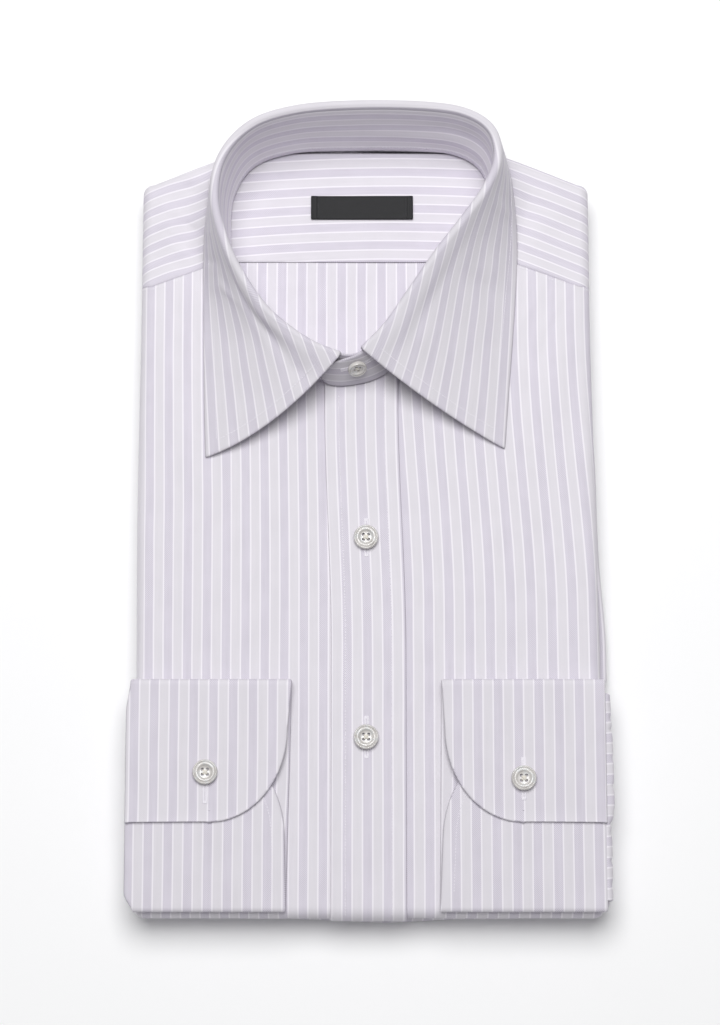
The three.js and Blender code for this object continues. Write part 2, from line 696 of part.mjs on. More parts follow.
function buttonAt(name, radius, x, y, z) {
  const mesh = named(name, buttonGeometry(radius), pearl);
  mesh.position.set(x, y, z);
  return mesh;
}

// The collar's button, seated on the lapped end of the stand and facing as it does.
function collarButton() {
  const { position, out } = onStand(neck.length + collarSeat.pastEnd, collarSeat.up, collarWall / 2 + gap);
  const mesh = buttonAt("button_collar", button.collarRadius, ...position.toArray());
  mesh.quaternion.setFromUnitVectors(new THREE.Vector3(0, 0, 1), out);
  return mesh;
}

function labelPiece() {
  const z = clothTopZ - pitch + gap + wall / 2;
  const point = (x, y) => new THREE.Vector3(x, y, z);
  const xs = even(label.x - label.width / 2, label.x + label.width / 2, 4);
  const ys = even(label.y - label.height / 2, label.y + label.height / 2, 1);
  return named("label", clothWall(xs, ys, point, wall), blackSatin);
}

const shirt = new THREE.Group();
shirt.add(foldedLayers(), backPanel(), innerYoke(), labelPiece());
shirt.add(rightFront(), leftFront(), outerYoke(), placketBand());
shirt.add(collarStand(), collarLeaf(), collarButton());
const onPlacket = clothTopZ + pitch + gap;
frontButtonsY.forEach((y, i) => shirt.add(buttonAt(`button_front_${i + 1}`, button.radius, 0, y, onPlacket)));
for (const arm of arms) {
  shirt.add(cuffPiece(arm), sleevePiece(arm));
  const onCuff = cuff.lapZ + cuff.wall / 2 + gap;
  shirt.add(buttonAt(`button_cuff_${arm.word}`, button.radius, arm.side * arm.buttonX, arm.buttonY, onCuff));
}
export default shirt;
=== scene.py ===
# %% [markdown]
# # A dress shirt, folded for the shelf
# A long sleeve shirt of striped cotton lies face up on a table, pressed and folded. Its collar
# stands, its buttons are done up, and both cuffs are brought round to the front. Cloth is thin,
# so each cut piece of the shirt is one thin wall that follows the form of the solid model.

# %% Load the solid model
import json
import math

import bpy
import numpy as np
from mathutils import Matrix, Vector

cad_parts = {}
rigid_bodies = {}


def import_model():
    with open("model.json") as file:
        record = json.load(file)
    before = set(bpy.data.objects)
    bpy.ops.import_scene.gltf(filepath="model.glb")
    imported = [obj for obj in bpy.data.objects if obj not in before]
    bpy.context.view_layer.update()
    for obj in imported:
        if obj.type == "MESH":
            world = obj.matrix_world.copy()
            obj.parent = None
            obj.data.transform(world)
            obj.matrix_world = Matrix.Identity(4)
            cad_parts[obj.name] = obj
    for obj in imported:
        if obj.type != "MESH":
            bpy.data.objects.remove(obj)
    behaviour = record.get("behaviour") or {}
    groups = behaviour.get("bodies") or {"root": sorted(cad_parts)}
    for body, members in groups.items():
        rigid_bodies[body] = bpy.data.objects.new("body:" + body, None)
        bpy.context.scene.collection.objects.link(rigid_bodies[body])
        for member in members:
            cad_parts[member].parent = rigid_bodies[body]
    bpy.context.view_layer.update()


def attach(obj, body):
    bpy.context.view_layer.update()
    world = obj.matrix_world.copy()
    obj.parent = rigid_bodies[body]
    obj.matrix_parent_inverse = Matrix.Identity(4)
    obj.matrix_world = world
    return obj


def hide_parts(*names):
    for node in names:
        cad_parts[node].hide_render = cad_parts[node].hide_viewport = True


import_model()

# %% [markdown]
# ## Camera, table and light
# The picture was taken from almost straight above, 80 degrees up, from far enough away that the
# shirt hardly narrows. A large soft light hangs over the collar, so what faces the hem lies in
# gentle shade, and a pale sky fills the rest.

# %% Camera, table and light
MM = 0.001
LOOK_AT = np.array([-2.88, 0, 23]) * MM
DISTANCE, ELEVATION = 1.25, math.radians(80)
scene = bpy.context.scene
scene.view_settings.view_transform = "Standard"


def add_object(name, data, place=(0, 0, 0), turn=(0, 0, 0)):
    made = bpy.data.objects.new(name, data)
    made.location, made.rotation_euler = place, turn
    scene.collection.objects.link(made)
    return made


camera_data = bpy.data.cameras.new("camera")
camera_data.lens, camera_data.clip_start = 91.46, 0.05
away = DISTANCE * np.array([0, -math.cos(ELEVATION), math.sin(ELEVATION)])
scene.camera = add_object("camera", camera_data, LOOK_AT + away, (math.pi / 2 - ELEVATION, 0, 0))

table_mesh = bpy.data.meshes.new("table_top")
table_mesh.from_pydata([(-4, -4, 0), (4, -4, 0), (4, 4, 0), (-4, 4, 0)], [], [(0, 1, 2, 3)])
table_top = add_object("table_top", table_mesh, (0, 0, -0.0002))


def add_light(name, place, aim, size, watts, colour=(1, 1, 1)):
    data = bpy.data.lights.new(name, "AREA")
    data.shape, data.size, data.energy, data.color = "DISK", size, watts, colour
    turn = (Vector(aim) - Vector(place)).to_track_quat("-Z", "Y").to_euler()
    return add_object(name, data, place, turn)


add_light("over_collar", (-0.05, 0.42, 1.5), (0, 0, 0), 1.15, 22.4)
sky = bpy.data.worlds.new("sky")
scene.world = sky
sky.use_nodes = True
sky.node_tree.nodes["Background"].inputs["Color"].default_value = (0.97, 0.975, 1, 1)
sky.node_tree.nodes["Background"].inputs["Strength"].default_value = 0.3
print("camera", round(DISTANCE * 1000), "mm away")

# %% [markdown]
# ## Shader sums as plain sums
# A material is a small calculation on each point. One class stands for a number that varies over
# the surface, so a sum such as 1 - mask is written as it is read.


# %% A number that varies over a surface
class Varying:
    """A socket that carries one number. Arithmetic on it adds a Math node."""

    def __init__(self, finish, socket):
        self.finish, self.socket = finish, socket

    def __add__(self, other):
        return self.finish.maths("ADD", self, other)

    def __sub__(self, other):
        return self.finish.maths("SUBTRACT", self, other)

    def __rsub__(self, other):
        return self.finish.maths("SUBTRACT", other, self)

    def __mul__(self, other):
        return self.finish.maths("MULTIPLY", self, other)

    def __truediv__(self, other):
        return self.finish.maths("DIVIDE", self, other)

    def __mod__(self, other):
        return self.finish.maths("FLOORED_MODULO", self, other)

    def __pow__(self, other):
        return self.finish.maths("POWER", self, other)

    def __abs__(self):
        return self.finish.maths("ABSOLUTE", self)

    __radd__, __rmul__ = __add__, __mul__


# %% A material that is written as sums
class Finish:
    """A new material with one Principled shader, and short ways to add what feeds it."""

    def __init__(self, name, **constants):
        self.material = bpy.data.materials.new(name)
        self.material.use_nodes = True
        self.tree = self.material.node_tree
        self.shader = self.tree.nodes["Principled BSDF"]
        for key, value in constants.items():
            self.shader.inputs[key.replace("_", " ")].default_value = value

    def node(self, kind, settings=None, values=None):
        """Adds a node: its settings first, then a value or link for each named input."""
        made = self.tree.nodes.new(kind)
        for key, value in (settings or {}).items():
            setattr(made, key, value)
        for key, value in (values or {}).items():
            self.feed(made.inputs[key], value)
        return made

    def feed(self, socket, value):
        value = value.socket if isinstance(value, Varying) else value
        if isinstance(value, bpy.types.NodeSocket):
            self.tree.links.new(value, socket)
        else:
            socket.default_value = value

    def maths(self, operation, *terms, clamp=False):
        settings = {"operation": operation, "use_clamp": clamp}
        return Varying(self, self.node("ShaderNodeMath", settings, dict(enumerate(terms))).outputs[0])

    def blend(self, share, low, high):
        """A colour that goes from low to high as share goes from 0 to 1."""
        names = {"Factor_Float": share, "A_Color": low, "B_Color": high}
        made = self.node("ShaderNodeMix", {"data_type": "RGBA"})
        for socket in made.inputs:
            if socket.identifier in names:
                self.feed(socket, names[socket.identifier])
        return next(s for s in made.outputs if s.identifier == "Result_Color")

    def ramp_up(self, value, low, high):
        """0 below low and 1 above high, with a soft step between."""
        names = {"Value": value, "From Min": low, "From Max": high}
        made = self.node("ShaderNodeMapRange", {"interpolation_type": "SMOOTHSTEP"}, names)
        return Varying(self, made.outputs["Result"])

    def cloudiness(self, place, scale, detail=2.0):
        """Soft noise about 0, between about -0.5 and 0.5."""
        values = {"Vector": place, "Scale": scale, "Detail": detail}
        return Varying(self, self.node("ShaderNodeTexNoise", {}, values).outputs["Fac"]) - 0.5

    def bump(self, height, distance, strength=1.0):
        values = {"Height": height, "Distance": distance, "Strength": strength}
        self.feed(self.shader.inputs["Normal"], self.node("ShaderNodeBump", {}, values).outputs[0])

    def colour(self, value):
        self.feed(self.shader.inputs["Base Color"], value)

    def roughness(self, value):
        self.feed(self.shader.inputs["Roughness"], value)


def paint(made, finish):
    made.data.materials.clear()
    made.data.materials.append(finish.material)


print("shader sums ready")

# %% [markdown]
# ## The striped cotton
# The cloth repeats every 9.7 mm: a lavender band, a fine white line, a pale band and another white
# line. Each piece has its own map in metres, across and along the stripes, as if it still lay flat,
# so the stripes turn with the cloth as they do on the cutting table. In the lavender bands the
# coloured thread crosses a white one, which gives the dotted look of a pinpoint weave, and uneven
# yarn makes faint streaks along every band.

# %% The striped cotton
REPEAT, LINE_WIDTH, THREAD = 9.7, 0.72, 0.94
PALE, LAVENDER, LINE_WHITE = (0.7, 0.675, 0.718), (0.64, 0.607, 0.677), (0.83, 0.8, 0.85)


def shaded(colour, share):
    return (*[share * part for part in colour], 1)


def striped_cotton(name, shade=1.0):
    """Cotton whose colour and thread relief follow the piece's own map. Shade scales every colour, so a lighter or
    darker copy paints light or shade onto the pieces that wear it.
    """
    cotton = Finish(name, Roughness=0.82, Sheen_Weight=0.1, Sheen_Roughness=0.4)
    cloth_map = cotton.node("ShaderNodeUVMap", {"uv_map": "cloth"}).outputs[0]
    parts = cotton.node("ShaderNodeSeparateXYZ", {}, {"Vector": cloth_map})
    across = Varying(cotton, parts.outputs["X"]) * (1 / MM)
    along = Varying(cotton, parts.outputs["Y"]) * (1 / MM)
    waver = cotton.cloudiness(cloth_map, 35.0, 1.0) * 0.3
    from_band = abs((across + waver + REPEAT / 2) % REPEAT - REPEAT / 2)
    lavender = 1 - cotton.ramp_up(from_band, REPEAT / 4 - 0.12, REPEAT / 4 + 0.12)
    white = 1 - cotton.ramp_up(abs(from_band - REPEAT / 4), LINE_WIDTH / 2 - 0.16, LINE_WIDTH / 2 + 0.16)
    warp = cotton.maths("SINE", across * (2 * math.pi / THREAD))
    weft = cotton.maths("SINE", along * (2 * math.pi / THREAD))
    crossing = warp * weft
    stretched = cotton.node("ShaderNodeVectorMath", {"operation": "MULTIPLY"}, {0: cloth_map, 1: (1, 0.05, 1)})
    streaks = cotton.cloudiness(stretched.outputs[0], 620.0, 2.0)
    clouds = cotton.cloudiness(cloth_map, 75.0, 2.0)
    tone = streaks * 0.7 + clouds * 0.6 + 0.5
    pale = cotton.blend(tone + crossing * 0.16, shaded(PALE, 0.94 * shade), shaded(PALE, 1.06 * shade))
    tinted = cotton.blend(tone * 0.7 + 0.15 + crossing * 0.6, shaded(LAVENDER, 0.84 * shade),
                          shaded(LAVENDER, 1.16 * shade))
    bands = cotton.blend(lavender, pale, tinted)
    cotton.colour(cotton.blend(white, bands, shaded(LINE_WHITE, shade)))
    slub = cotton.cloudiness(cloth_map, 900.0, 2.0)
    cotton.bump(crossing * 0.35 + white * 0.5 + slub * 0.6, 0.00006, 0.9)
    cotton.roughness(0.84 - white * 0.14 + streaks * 0.06)
    return cotton


cotton = striped_cotton("striped_cotton")
# The cuffs wear a copy of the cotton 2.5 % darker: painted shade, not a different cloth.
cuff_shaded_cotton = striped_cotton("cuff_cloth_painted_shade", 0.975)
# The collar leaf wears a copy 5.5 % darker: painted shade on its sloping wings.
leaf_shaded_cotton = striped_cotton("leaf_cloth_painted_shade", 0.945)
# The collar stand is one cloth, painted in two tones: a copy 13 % lighter on its inside is painted light, and a copy
# 13 % darker on its outside is painted shade, as under the collar wings.
stand_inside_lit_cotton = striped_cotton("stand_inside_cloth_painted_light", 1.13)
stand_outside_shaded_cotton = striped_cotton("stand_outside_cloth_painted_shade", 0.87)
print("cotton repeats every", REPEAT, "mm")

# %% [markdown]
# ## From a grid of points to a piece of cloth
# Every cut piece starts as a grid of points on its middle surface. The two faces lie half the
# thickness to either side of it, and one more ring of points rounds the edge, as a turned or
# stitched edge is round.


# %% A thin wall from a grid
sheets = {}


def unit(vectors):
    return vectors / np.maximum(np.linalg.norm(vectors, axis=-1, keepdims=True), 1e-9)


def grid_normals(middle):
    """The direction square to a grid of points: the change along a row crossed with that down a column."""
    return unit(np.cross(np.gradient(middle, axis=1), np.gradient(middle, axis=0)))


def new_mesh_object(name, points, faces, cloth_map=None, smooth=True):
    """points in millimetres. faces is a list of index lists, and cloth_map a pair for each point."""
    mesh = bpy.data.meshes.new(name)
    mesh.from_pydata((np.asarray(points) * MM).tolist(), [], faces)
    if cloth_map is not None:
        corner = np.empty(len(mesh.loops), np.int32)
        mesh.loops.foreach_get("vertex_index", corner)
        layer = mesh.uv_layers.new(name="cloth")
        layer.data.foreach_set("uv", (np.asarray(cloth_map) * MM)[corner].astype(np.float32).ravel())
    mesh.polygons.foreach_set("use_smooth", np.full(len(mesh.polygons), smooth))
    mesh.update()
    made = add_object(name, mesh)
    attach(made, "root")
    return made


def cloth_wall(name, middle, across, along, thick, replaces=(), finish=None, rests_on=(), held="laid"):
    """A closed thin wall round a grid of middle points: outer face, inner face and a round rim."""
    rows, columns = middle.shape[:2]
    normal = grid_normals(middle)
    outer, inner = middle + normal * thick / 2, middle - normal * thick / 2
    index = np.arange(rows * columns).reshape(rows, columns)
    ring = np.concatenate([index[0, :-1], index[:-1, -1], index[-1, :0:-1], index[:0:-1, 0]])
    away = np.zeros_like(middle)
    away[0] -= unit(middle[1] - middle[0])
    away[-1] += unit(middle[-1] - middle[-2])
    away[:, 0] -= unit(middle[:, 1] - middle[:, 0])
    away[:, -1] += unit(middle[:, -1] - middle[:, -2])
    rim = (middle + unit(away) * thick / 2).reshape(-1, 3)[ring]
    count, edge = rows * columns, len(ring)
    quads = np.stack([index[:-1, :-1], index[:-1, 1:], index[1:, 1:], index[1:, :-1]], -1).reshape(-1, 4)
    here, there = np.arange(edge), np.roll(np.arange(edge), -1)
    to_rim = np.stack([ring[here], 2 * count + here, 2 * count + there, ring[there]], -1)
    from_rim = np.stack([2 * count + here, count + ring[here], count + ring[there], 2 * count + there], -1)
    faces = np.concatenate([quads, (quads + count)[:, ::-1], to_rim, from_rim])
    flat = np.stack([np.broadcast_to(across, (rows, columns)), np.broadcast_to(along, (rows, columns))], -1)
    flat = flat.reshape(-1, 2)
    points = np.concatenate([outer.reshape(-1, 3), inner.reshape(-1, 3), rim])
    made = new_mesh_object(name, points, faces.tolist(), np.concatenate([flat, flat, flat[ring]]))
    paint(made, finish or cotton)
    sides = np.cross(middle[1:, 1:] - middle[:-1, :-1], middle[1:, :-1] - middle[:-1, 1:])
    area = float(np.linalg.norm(sides, axis=-1).sum() / 2)
    size = [max(float(np.ptp(flat[:, k])), area / max(float(np.ptp(flat[:, 1 - k])), 1)) for k in (0, 1)]
    flat_size, flat_area = (size[0] * MM, size[1] * MM), min(area, size[0] * size[1]) * MM * MM
    sheets[name] = dict(piece=made, flat=flat_size, area=flat_area, held=held, rests_on=list(rests_on))
    if replaces:
        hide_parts(*([replaces] if isinstance(replaces, str) else replaces))
    print(f"{name}: {len(faces)} faces, cut {size[0]:.0f} by {size[1]:.0f} mm")
    return made, outer, normal


# %% [markdown]
# ## Smooth lines and soft steps
# Three small formulas do most of the shaping: a soft step, a table with named columns, and a smooth
# line through the rows of such a table. They are the same ones that shaped the solid model.


# %% Smooth lines and soft steps
def soft_step(value, low, high):
    """0 below low, 1 above high, and between them three shares squared less two shares cubed."""
    share = np.clip((value - low) / (high - low), 0, 1)
    return share * share * (3 - 2 * share)


def columns_of(heads, rows):
    return dict(zip(heads.split(), np.array(rows, float).T))


def smooth_line(rows, place, closed=False):
    """Rows read at fractional places: between two rows, the cubic whose slopes join their neighbours."""
    rows = np.asarray(rows, float)
    place = np.asarray(place, float)
    if closed:
        i = np.floor(place).astype(int)
        p0, p1, p2, p3 = (rows[(i + k) % len(rows)] for k in (-1, 0, 1, 2))
    else:
        i = np.clip(np.floor(place).astype(int), 0, len(rows) - 2)
        padded = np.concatenate([[2 * rows[0] - rows[1]], rows, [2 * rows[-1] - rows[-2]]])
        p0, p1, p2, p3 = (padded[i + k] for k in range(4))
    w = (place - i).reshape(place.shape + (1,) * (rows.ndim - 1))
    slope, other = (p2 - p0) / 2, (p3 - p1) / 2
    return p1 + slope * w + (3 * (p2 - p1) - 2 * slope - other) * w**2 + (2 * (p1 - p2) + slope + other) * w**3


def humps(table, x, y):
    """The sum of soft hills: height times e to the minus squared distances over width and length."""
    total = np.zeros(np.broadcast(x, y).shape)
    for cx, cy, length, width, lean, height in zip(*(table[k] for k in "x y length width lean height".split())):
        turn = math.radians(lean)
        side = (x - cx) * math.cos(turn) + (y - cy) * math.sin(turn)
        ahead = (y - cy) * math.cos(turn) - (x - cx) * math.sin(turn)
        total = total + height * np.exp(-((side / width) ** 2) - (ahead / length) ** 2)
    return total


print("soft step halfway:", soft_step(0.5, 0, 1))

# %% [markdown]
# ## The folded body
# The pressed body is flat on top and turns under along its sides, its shoulders and its hem. A point
# of the cloth is named by where it would lie if the folds were opened out, and the fold formula rolls
# it round the edge.

# %% The folded body
HALF_WIDTH, HEM_Y, BACK_NECK_Y = 110.5, -192.5, 184.0
SHOULDER_FLAT, SHOULDER_SLOPE = 55.0, 0.39
FOLD_RADIUS, FOLD_Z, UNDER_TURN, DRIFT = 5.2, 18.0, math.radians(150), 1.6
WALL, GAP = 1.0, 0.3
CLOTH = 0.9
FLAT_HALF, FLAT_LOW = HALF_WIDTH - FOLD_RADIUS, HEM_Y + FOLD_RADIUS
SIDE_TURN = UNDER_TURN * FOLD_RADIUS
RIDGES = columns_of(
    "x y length width lean height",
    [
        (-94, 60, 46, 7, 4, 0.7),
        (-48, -12, 60, 9, -3, 0.6),
        (92, 66, 40, 8, -14, 0.9),
        (60, -20, 52, 9, 6, 0.6),
        (-86, -38, 34, 6, 8, 0.5),
        (97, -42, 30, 6, -5, 0.5),
    ],
)
CREASES = columns_of(
    "x y length width lean height",
    [
        (-70, 34, 26, 2.6, 22, 0.35),
        (-60, 8, 18, 2.2, -34, -0.3),
        (-100, -8, 24, 2.4, -12, 0.3),
        (-36, -52, 30, 2.8, 12, -0.3),
        (-88, 92, 15, 3, 38, -0.35),
        (-28, 40, 14, 2.4, -20, 0.25),
        (78, 98, 18, 2.6, -30, 0.4),
        (88, 84, 22, 2.4, -22, -0.4),
        (96, 104, 16, 2.2, -38, 0.35),
        (72, 30, 26, 2.8, -16, 0.3),
        (44, -6, 22, 2.6, 28, -0.3),
        (102, 12, 28, 2.4, 6, 0.3),
        (30, -66, 34, 3, -8, 0.3),
        (56, -60, 22, 2.4, 18, -0.25),
        (84, -56, 18, 2.4, 32, 0.25),
        (-66, -66, 20, 2.6, -28, 0.25),
    ],
)


def shoulder_fold(x):
    """Straight behind the neck, then falling away along each shoulder."""
    return BACK_NECK_Y - SHOULDER_SLOPE * 5 * np.log1p(np.exp((np.abs(x) - SHOULDER_FLAT) / 5))


def askew(x, y):
    """Below the chest the sides drift over to one side, and above it they draw in."""
    over = DRIFT * (x / HALF_WIDTH) ** 2 * soft_step(-y, -80, 170)
    drawn = soft_step(np.abs(x), 80, HALF_WIDTH) * soft_step(y, -20, 110)
    return x + over - np.sign(x) * np.where(x < 0, 1.0, 1.2) * drawn


def folded(x, y, depth, relief=0.0):
    """Cloth laid over the body: past an edge, the distance along the cloth becomes an angle round the fold."""
    radius = FOLD_RADIUS - depth
    flat_x = np.clip(x, -FLAT_HALF, FLAT_HALF)
    flat_y = np.clip(y, FLAT_LOW, shoulder_fold(flat_x) - FOLD_RADIUS)
    a, b = (x - flat_x) / FOLD_RADIUS, (y - flat_y) / FOLD_RADIUS
    square = 2 * UNDER_TURN**2
    turn_x = a * np.sqrt(np.maximum(0, 1 - b**2 / square))
    turn_y = b * np.sqrt(np.maximum(0, 1 - a**2 / square))
    turn = np.hypot(turn_x, turn_y)
    reach = np.where(turn < 1e-6, radius, radius * np.sin(turn) / np.maximum(turn, 1e-6))
    height = FOLD_Z + radius * np.cos(turn) + relief * np.maximum(0, np.cos(turn))
    to_y = flat_y + reach * turn_y
    return np.stack([askew(flat_x + reach * turn_x, to_y), to_y, height], -1)


print("body:", 2 * HALF_WIDTH, "mm wide, cloth turned under", round(SIDE_TURN, 1), "mm")

# %% [markdown]
# ## Stations round the neck
# The collar is drawn as on a tailor's block: a table of stations round the neck, each with a point
# on the fold of the leaf, one at the foot of the stand and one on the leaf's outer edge.

# %% Stations round the neck
NECK_HEADS = "fold_x fold_y fold_z base_x base_y base_z edge_x edge_y edge_z bow"
NECK = np.array(
    [
        (-12.4, 74.0, 46.0, -14.5, 63.5, 25.3, -76.8, 27.2, 24.3, 6),
        (-24, 78.5, 46.8, -27, 67.5, 24.6, -77.6, 50, 24.3, 3.2),
        (-36, 86, 48, -39.5, 75.5, 24, -78.1, 75, 24.3, 0.8),
        (-48, 96.5, 50.2, -50, 84.5, 24, -78.5, 98, 24.3, 0),
        (-59, 112.2, 53.5, -59, 101, 24, -78.8, 119, 24.3, 0),
        (-66.5, 128, 56.8, -64.5, 117.5, 24, -78.5, 136, 24.4, 0),
        (-71, 147, 59.5, -66.5, 137.5, 24, -77.2, 152.5, 24.5, 0),
        (-67.5, 166, 61.4, -64.8, 157, 24, -74, 170.8, 24.8, 0),
        (-54, 181, 62, -55, 172.5, 24, -59.5, 186.5, 24, 0),
        (-33, 188.2, 62, -35, 179.6, 24, -35, 191.6, 21, 0),
        (-5, 190.6, 62, -6, 181, 24, -5, 192.8, 20, 0),
        (25, 190.2, 62, 24, 180.8, 24, 26, 192.6, 20, 0),
        (46, 187.2, 62, 43.5, 178.6, 24, 49, 190, 21.5, 0),
        (58.5, 179.5, 61.4, 56, 171, 24, 64.6, 183.5, 24, 0),
        (61.5, 166.5, 60, 61, 157, 24, 70.3, 168, 24.8, 0),
        (56, 152.5, 58.5, 59, 141, 24, 72.6, 149, 24.5, 0),
        (46, 138.5, 56.5, 52.5, 124, 24, 73.4, 127, 24.3, 0),
        (33, 122, 53.8, 42, 106.5, 24, 72.1, 103, 24.3, 0),
        (20, 103.5, 50.5, 30, 88.5, 24, 70.3, 79, 24.3, 0.2),
        (8.6, 87.5, 48, 18, 75.5, 24.6, 68.2, 54, 24.3, 1),
        (-2.4, 76.5, 46, 5, 66.5, 25.3, 66.5, 31.5, 24.3, 1.9),
    ]
)
LAST_STATION = len(NECK) - 1
NECK_SEAM = 0.3


def neck_edge(station):
    """The body's neck edge: the foot of the stand moved out a little, square to its own line."""
    base = NECK[:, 3:5]
    along = unit(smooth_line(base, station + 0.01, True) - smooth_line(base, station - 0.01, True))
    return smooth_line(base, station, True) + NECK_SEAM * np.stack([-along[..., 1], along[..., 0]], -1)


neck_loop = neck_edge(np.linspace(0, len(NECK), 8 * len(NECK) + 1)[:-1])
from_left = np.roll(neck_loop, -int(neck_loop[:, 0].argmin()), axis=0)
right_most = int(from_left[:, 0].argmax())
low_side = np.vstack([from_left[right_most:], from_left[:1]])
low_side = low_side[low_side[:, 0].argsort()]


def neck_low(x):
    """Where the front neck edge lies at x, and far above it beyond the neck."""
    found = np.interp(x, low_side[:, 0], low_side[:, 1])
    return np.where((x > low_side[0, 0]) & (x < low_side[-1, 0]), found, 999)


def yoke_seam(x):
    return 111.9 + 0.36 * np.maximum(0, FLAT_HALF - np.abs(x))


print("neck opening", np.ptp(neck_loop, axis=0).round(1), "mm")

# %% [markdown]
# ## The fronts
# Each front is one flat panel from the hem fold to the yoke seam, rolled under along its side. Its
# stripes run down the body. Soft ridges and finer creases, left by the iron and the folding, are
# given as long low hills, no two alike.


# %% The fronts
def front_relief(x, y):
    """Ridges, fine creases that fade at placket and hem, and the groove beside the placket's top."""
    free = soft_step(np.abs(x - 0.5), 19, 27) * soft_step(y, -78, -60)
    groove = -0.9 * np.exp(-(((x - 16.8) / 1.5) ** 2)) * soft_step(y, 45, 75)
    return humps(RIDGES, x, y) + free * humps(CREASES, x, y) + groove


def front_panel(name, x, pitch_share, band_middle, lean):
    """From the hem fold up to the seams. Higher up the stripes lean to the wearer's right."""
    top = np.minimum(yoke_seam(x) - 0.5, neck_low(x))
    v = np.concatenate([np.linspace(-1, 0, 13)[:-1], np.linspace(0, 1, 230)])[:, None]
    y = np.where(v < 0, FLAT_LOW + v * SIDE_TURN, FLAT_LOW + v * (top - FLAT_LOW))
    spread = np.broadcast_to(x, y.shape)
    middle = folded(spread, y, WALL / 2, front_relief(spread, y))
    sway = 0.35 * np.sin(y / 38 + x / 60) * soft_step(y, -60, 20) * soft_step(np.abs(x), 30, 80)
    across = (spread - band_middle + sway + lean * soft_step(y, -45, 95)) / pitch_share
    return cloth_wall(name, middle, across, y, CLOTH, name, rests_on=["back"], held="folded")


side_roll = np.linspace(FLAT_HALF, FLAT_HALF + SIDE_TURN, 14)
right_x = np.concatenate([-side_roll[::-1], np.linspace(-FLAT_HALF, 12.7, 84)[1:]])
left_x = np.concatenate([np.linspace(13, FLAT_HALF, 66)[:-1], side_roll])
right_lean, left_lean = 1 + soft_step(right_x, -60, -20), 6.1 + 1.5 * left_x / 88
front_right, right_face, right_facing = front_panel("front_right", right_x, 0.962, -104.3, right_lean)
front_left, left_face, left_facing = front_panel("front_left", left_x, 1.002, 20.1, left_lean)

# %% [markdown]
# ## The outer yoke
# The yoke is the doubled piece over the shoulders. Here it runs from the neck to the front seams and
# rolls away behind the shoulders, with its stripes laid across the body, square to the fronts.

# %% The outer yoke
YOKE_HEADS = "station across up turn_x turn_y"


def seam_station(first, last):
    """The first of many stations where the neck edge has passed above the yoke seam."""
    stations = np.linspace(first, last, 401)
    point = neck_edge(stations)
    return float(stations[np.argmax(point[:, 1] > yoke_seam(point[:, 0]) + GAP / 2)])


YOKE_LINES = np.array(
    [
        (seam_station(5, 7), -1, 0, -1, 0),
        (5.9, -1, 0.33, -1, 0),
        (6.35, -1, 0.67, -1, 0),
        (6.8, -1, 1, -1, 1),
        (7.1, -0.9, 1, 0, 1),
        (7.5, -0.78, 1, 0, 1),
        (7.9, -0.66, 1, 0, 1),
        (8.3, -0.54, 1, 0, 1),
        (8.8, -0.4, 1, 0, 1),
        (9.5, -0.21, 1, 0, 1),
        (10.5, 0.08, 1, 0, 1),
        (11.3, 0.29, 1, 0, 1),
        (11.9, 0.42, 1, 0, 1),
        (12.4, 0.54, 1, 0, 1),
        (12.8, 0.66, 1, 0, 1),
        (13.2, 0.78, 1, 0, 1),
        (13.6, 0.9, 1, 0, 1),
        (14, 1, 1, 1, 1),
        (14.5, 1, 0.67, 1, 0),
        (15, 1, 0.33, 1, 0),
        (seam_station(17, 15), 1, 0, 1, 0),
    ]
)
YOKE_DENTS = columns_of(
    "x y length width lean height",
    [
        (-84, 138, 20, 7, 25, -2.2),
        (-100, 141, 16, 5, 68, 0.7),
        (-95, 150, 13, 4.5, 64, 0.6),
        (-90, 122, 13, 3.5, 70, -0.7),
        (-84, 160, 9, 4, 58, -0.8),
        (-88, 143, 12, 2.2, 66, -0.7),
        (-86, 129, 11, 2, 72, 0.6),
        (-92, 135, 14, 1.8, 62, -0.5),
        (78, 150, 16, 5.5, -20, -1.6),
        (92, 146, 13, 5, -66, 0.35),
        (86, 130, 10, 4, -70, -0.3),
        (0, 185, 20, 30, 90, 0.2),
    ],
)
u = np.linspace(0, len(YOKE_LINES) - 1, 221)[None, :]
v = np.concatenate([np.linspace(-1, 0, 24)[:-1], np.linspace(0, 1, 16)])[:, None]
station, share, up, turn_x, turn_y = (
    np.interp(u, np.arange(len(YOKE_LINES)), YOKE_LINES[:, k]) for k in range(5)
)
flat_top = shoulder_fold(share * FLAT_HALF) - FOLD_RADIUS
seam_end = float(yoke_seam(FLAT_HALF)) + GAP / 2
corner_top = float(shoulder_fold(FLAT_HALF)) - FOLD_RADIUS
line_y = np.where(up < 1, seam_end + up * (corner_top - seam_end), flat_top)
start = neck_edge(station)
flat_end_y = np.where(up < 1, line_y, np.maximum(line_y, start[..., 1]))
yoke_x = np.where(v < 0, start[..., 0] + (v + 1) * (share * FLAT_HALF - start[..., 0]),
                  share * FLAT_HALF + v * turn_x * SIDE_TURN)
yoke_y = np.where(v < 0, start[..., 1] + (v + 1) * (flat_end_y - start[..., 1]),
                  flat_end_y + v * (line_y + turn_y * SIDE_TURN - flat_end_y))
yoke_middle = folded(yoke_x, yoke_y, WALL / 2, humps(YOKE_DENTS, yoke_x, yoke_y))
wave = 1.1 * np.sin((yoke_x + 70) / 7.5) * np.exp(-(((yoke_x + 84) / 16) ** 2))
yoke_across = (shoulder_fold(yoke_x) - yoke_y + wave) * 1.09 + np.where(yoke_x < 0, 2.6, 0.6)
yoke_outer, yoke_face, yoke_facing = cloth_wall(
    "yoke_outer", yoke_middle, yoke_across, yoke_x, CLOTH, "yoke_outer", rests_on=["yoke_inner"], held="folded"
)

# %% [markdown]
# ## The back and the inner yoke
# Through the open neck one looks down on the inside of the back: the inner yoke, whose stripes lie
# across, sewn to the back panel, whose stripes run down. Both lie flat under the fronts.

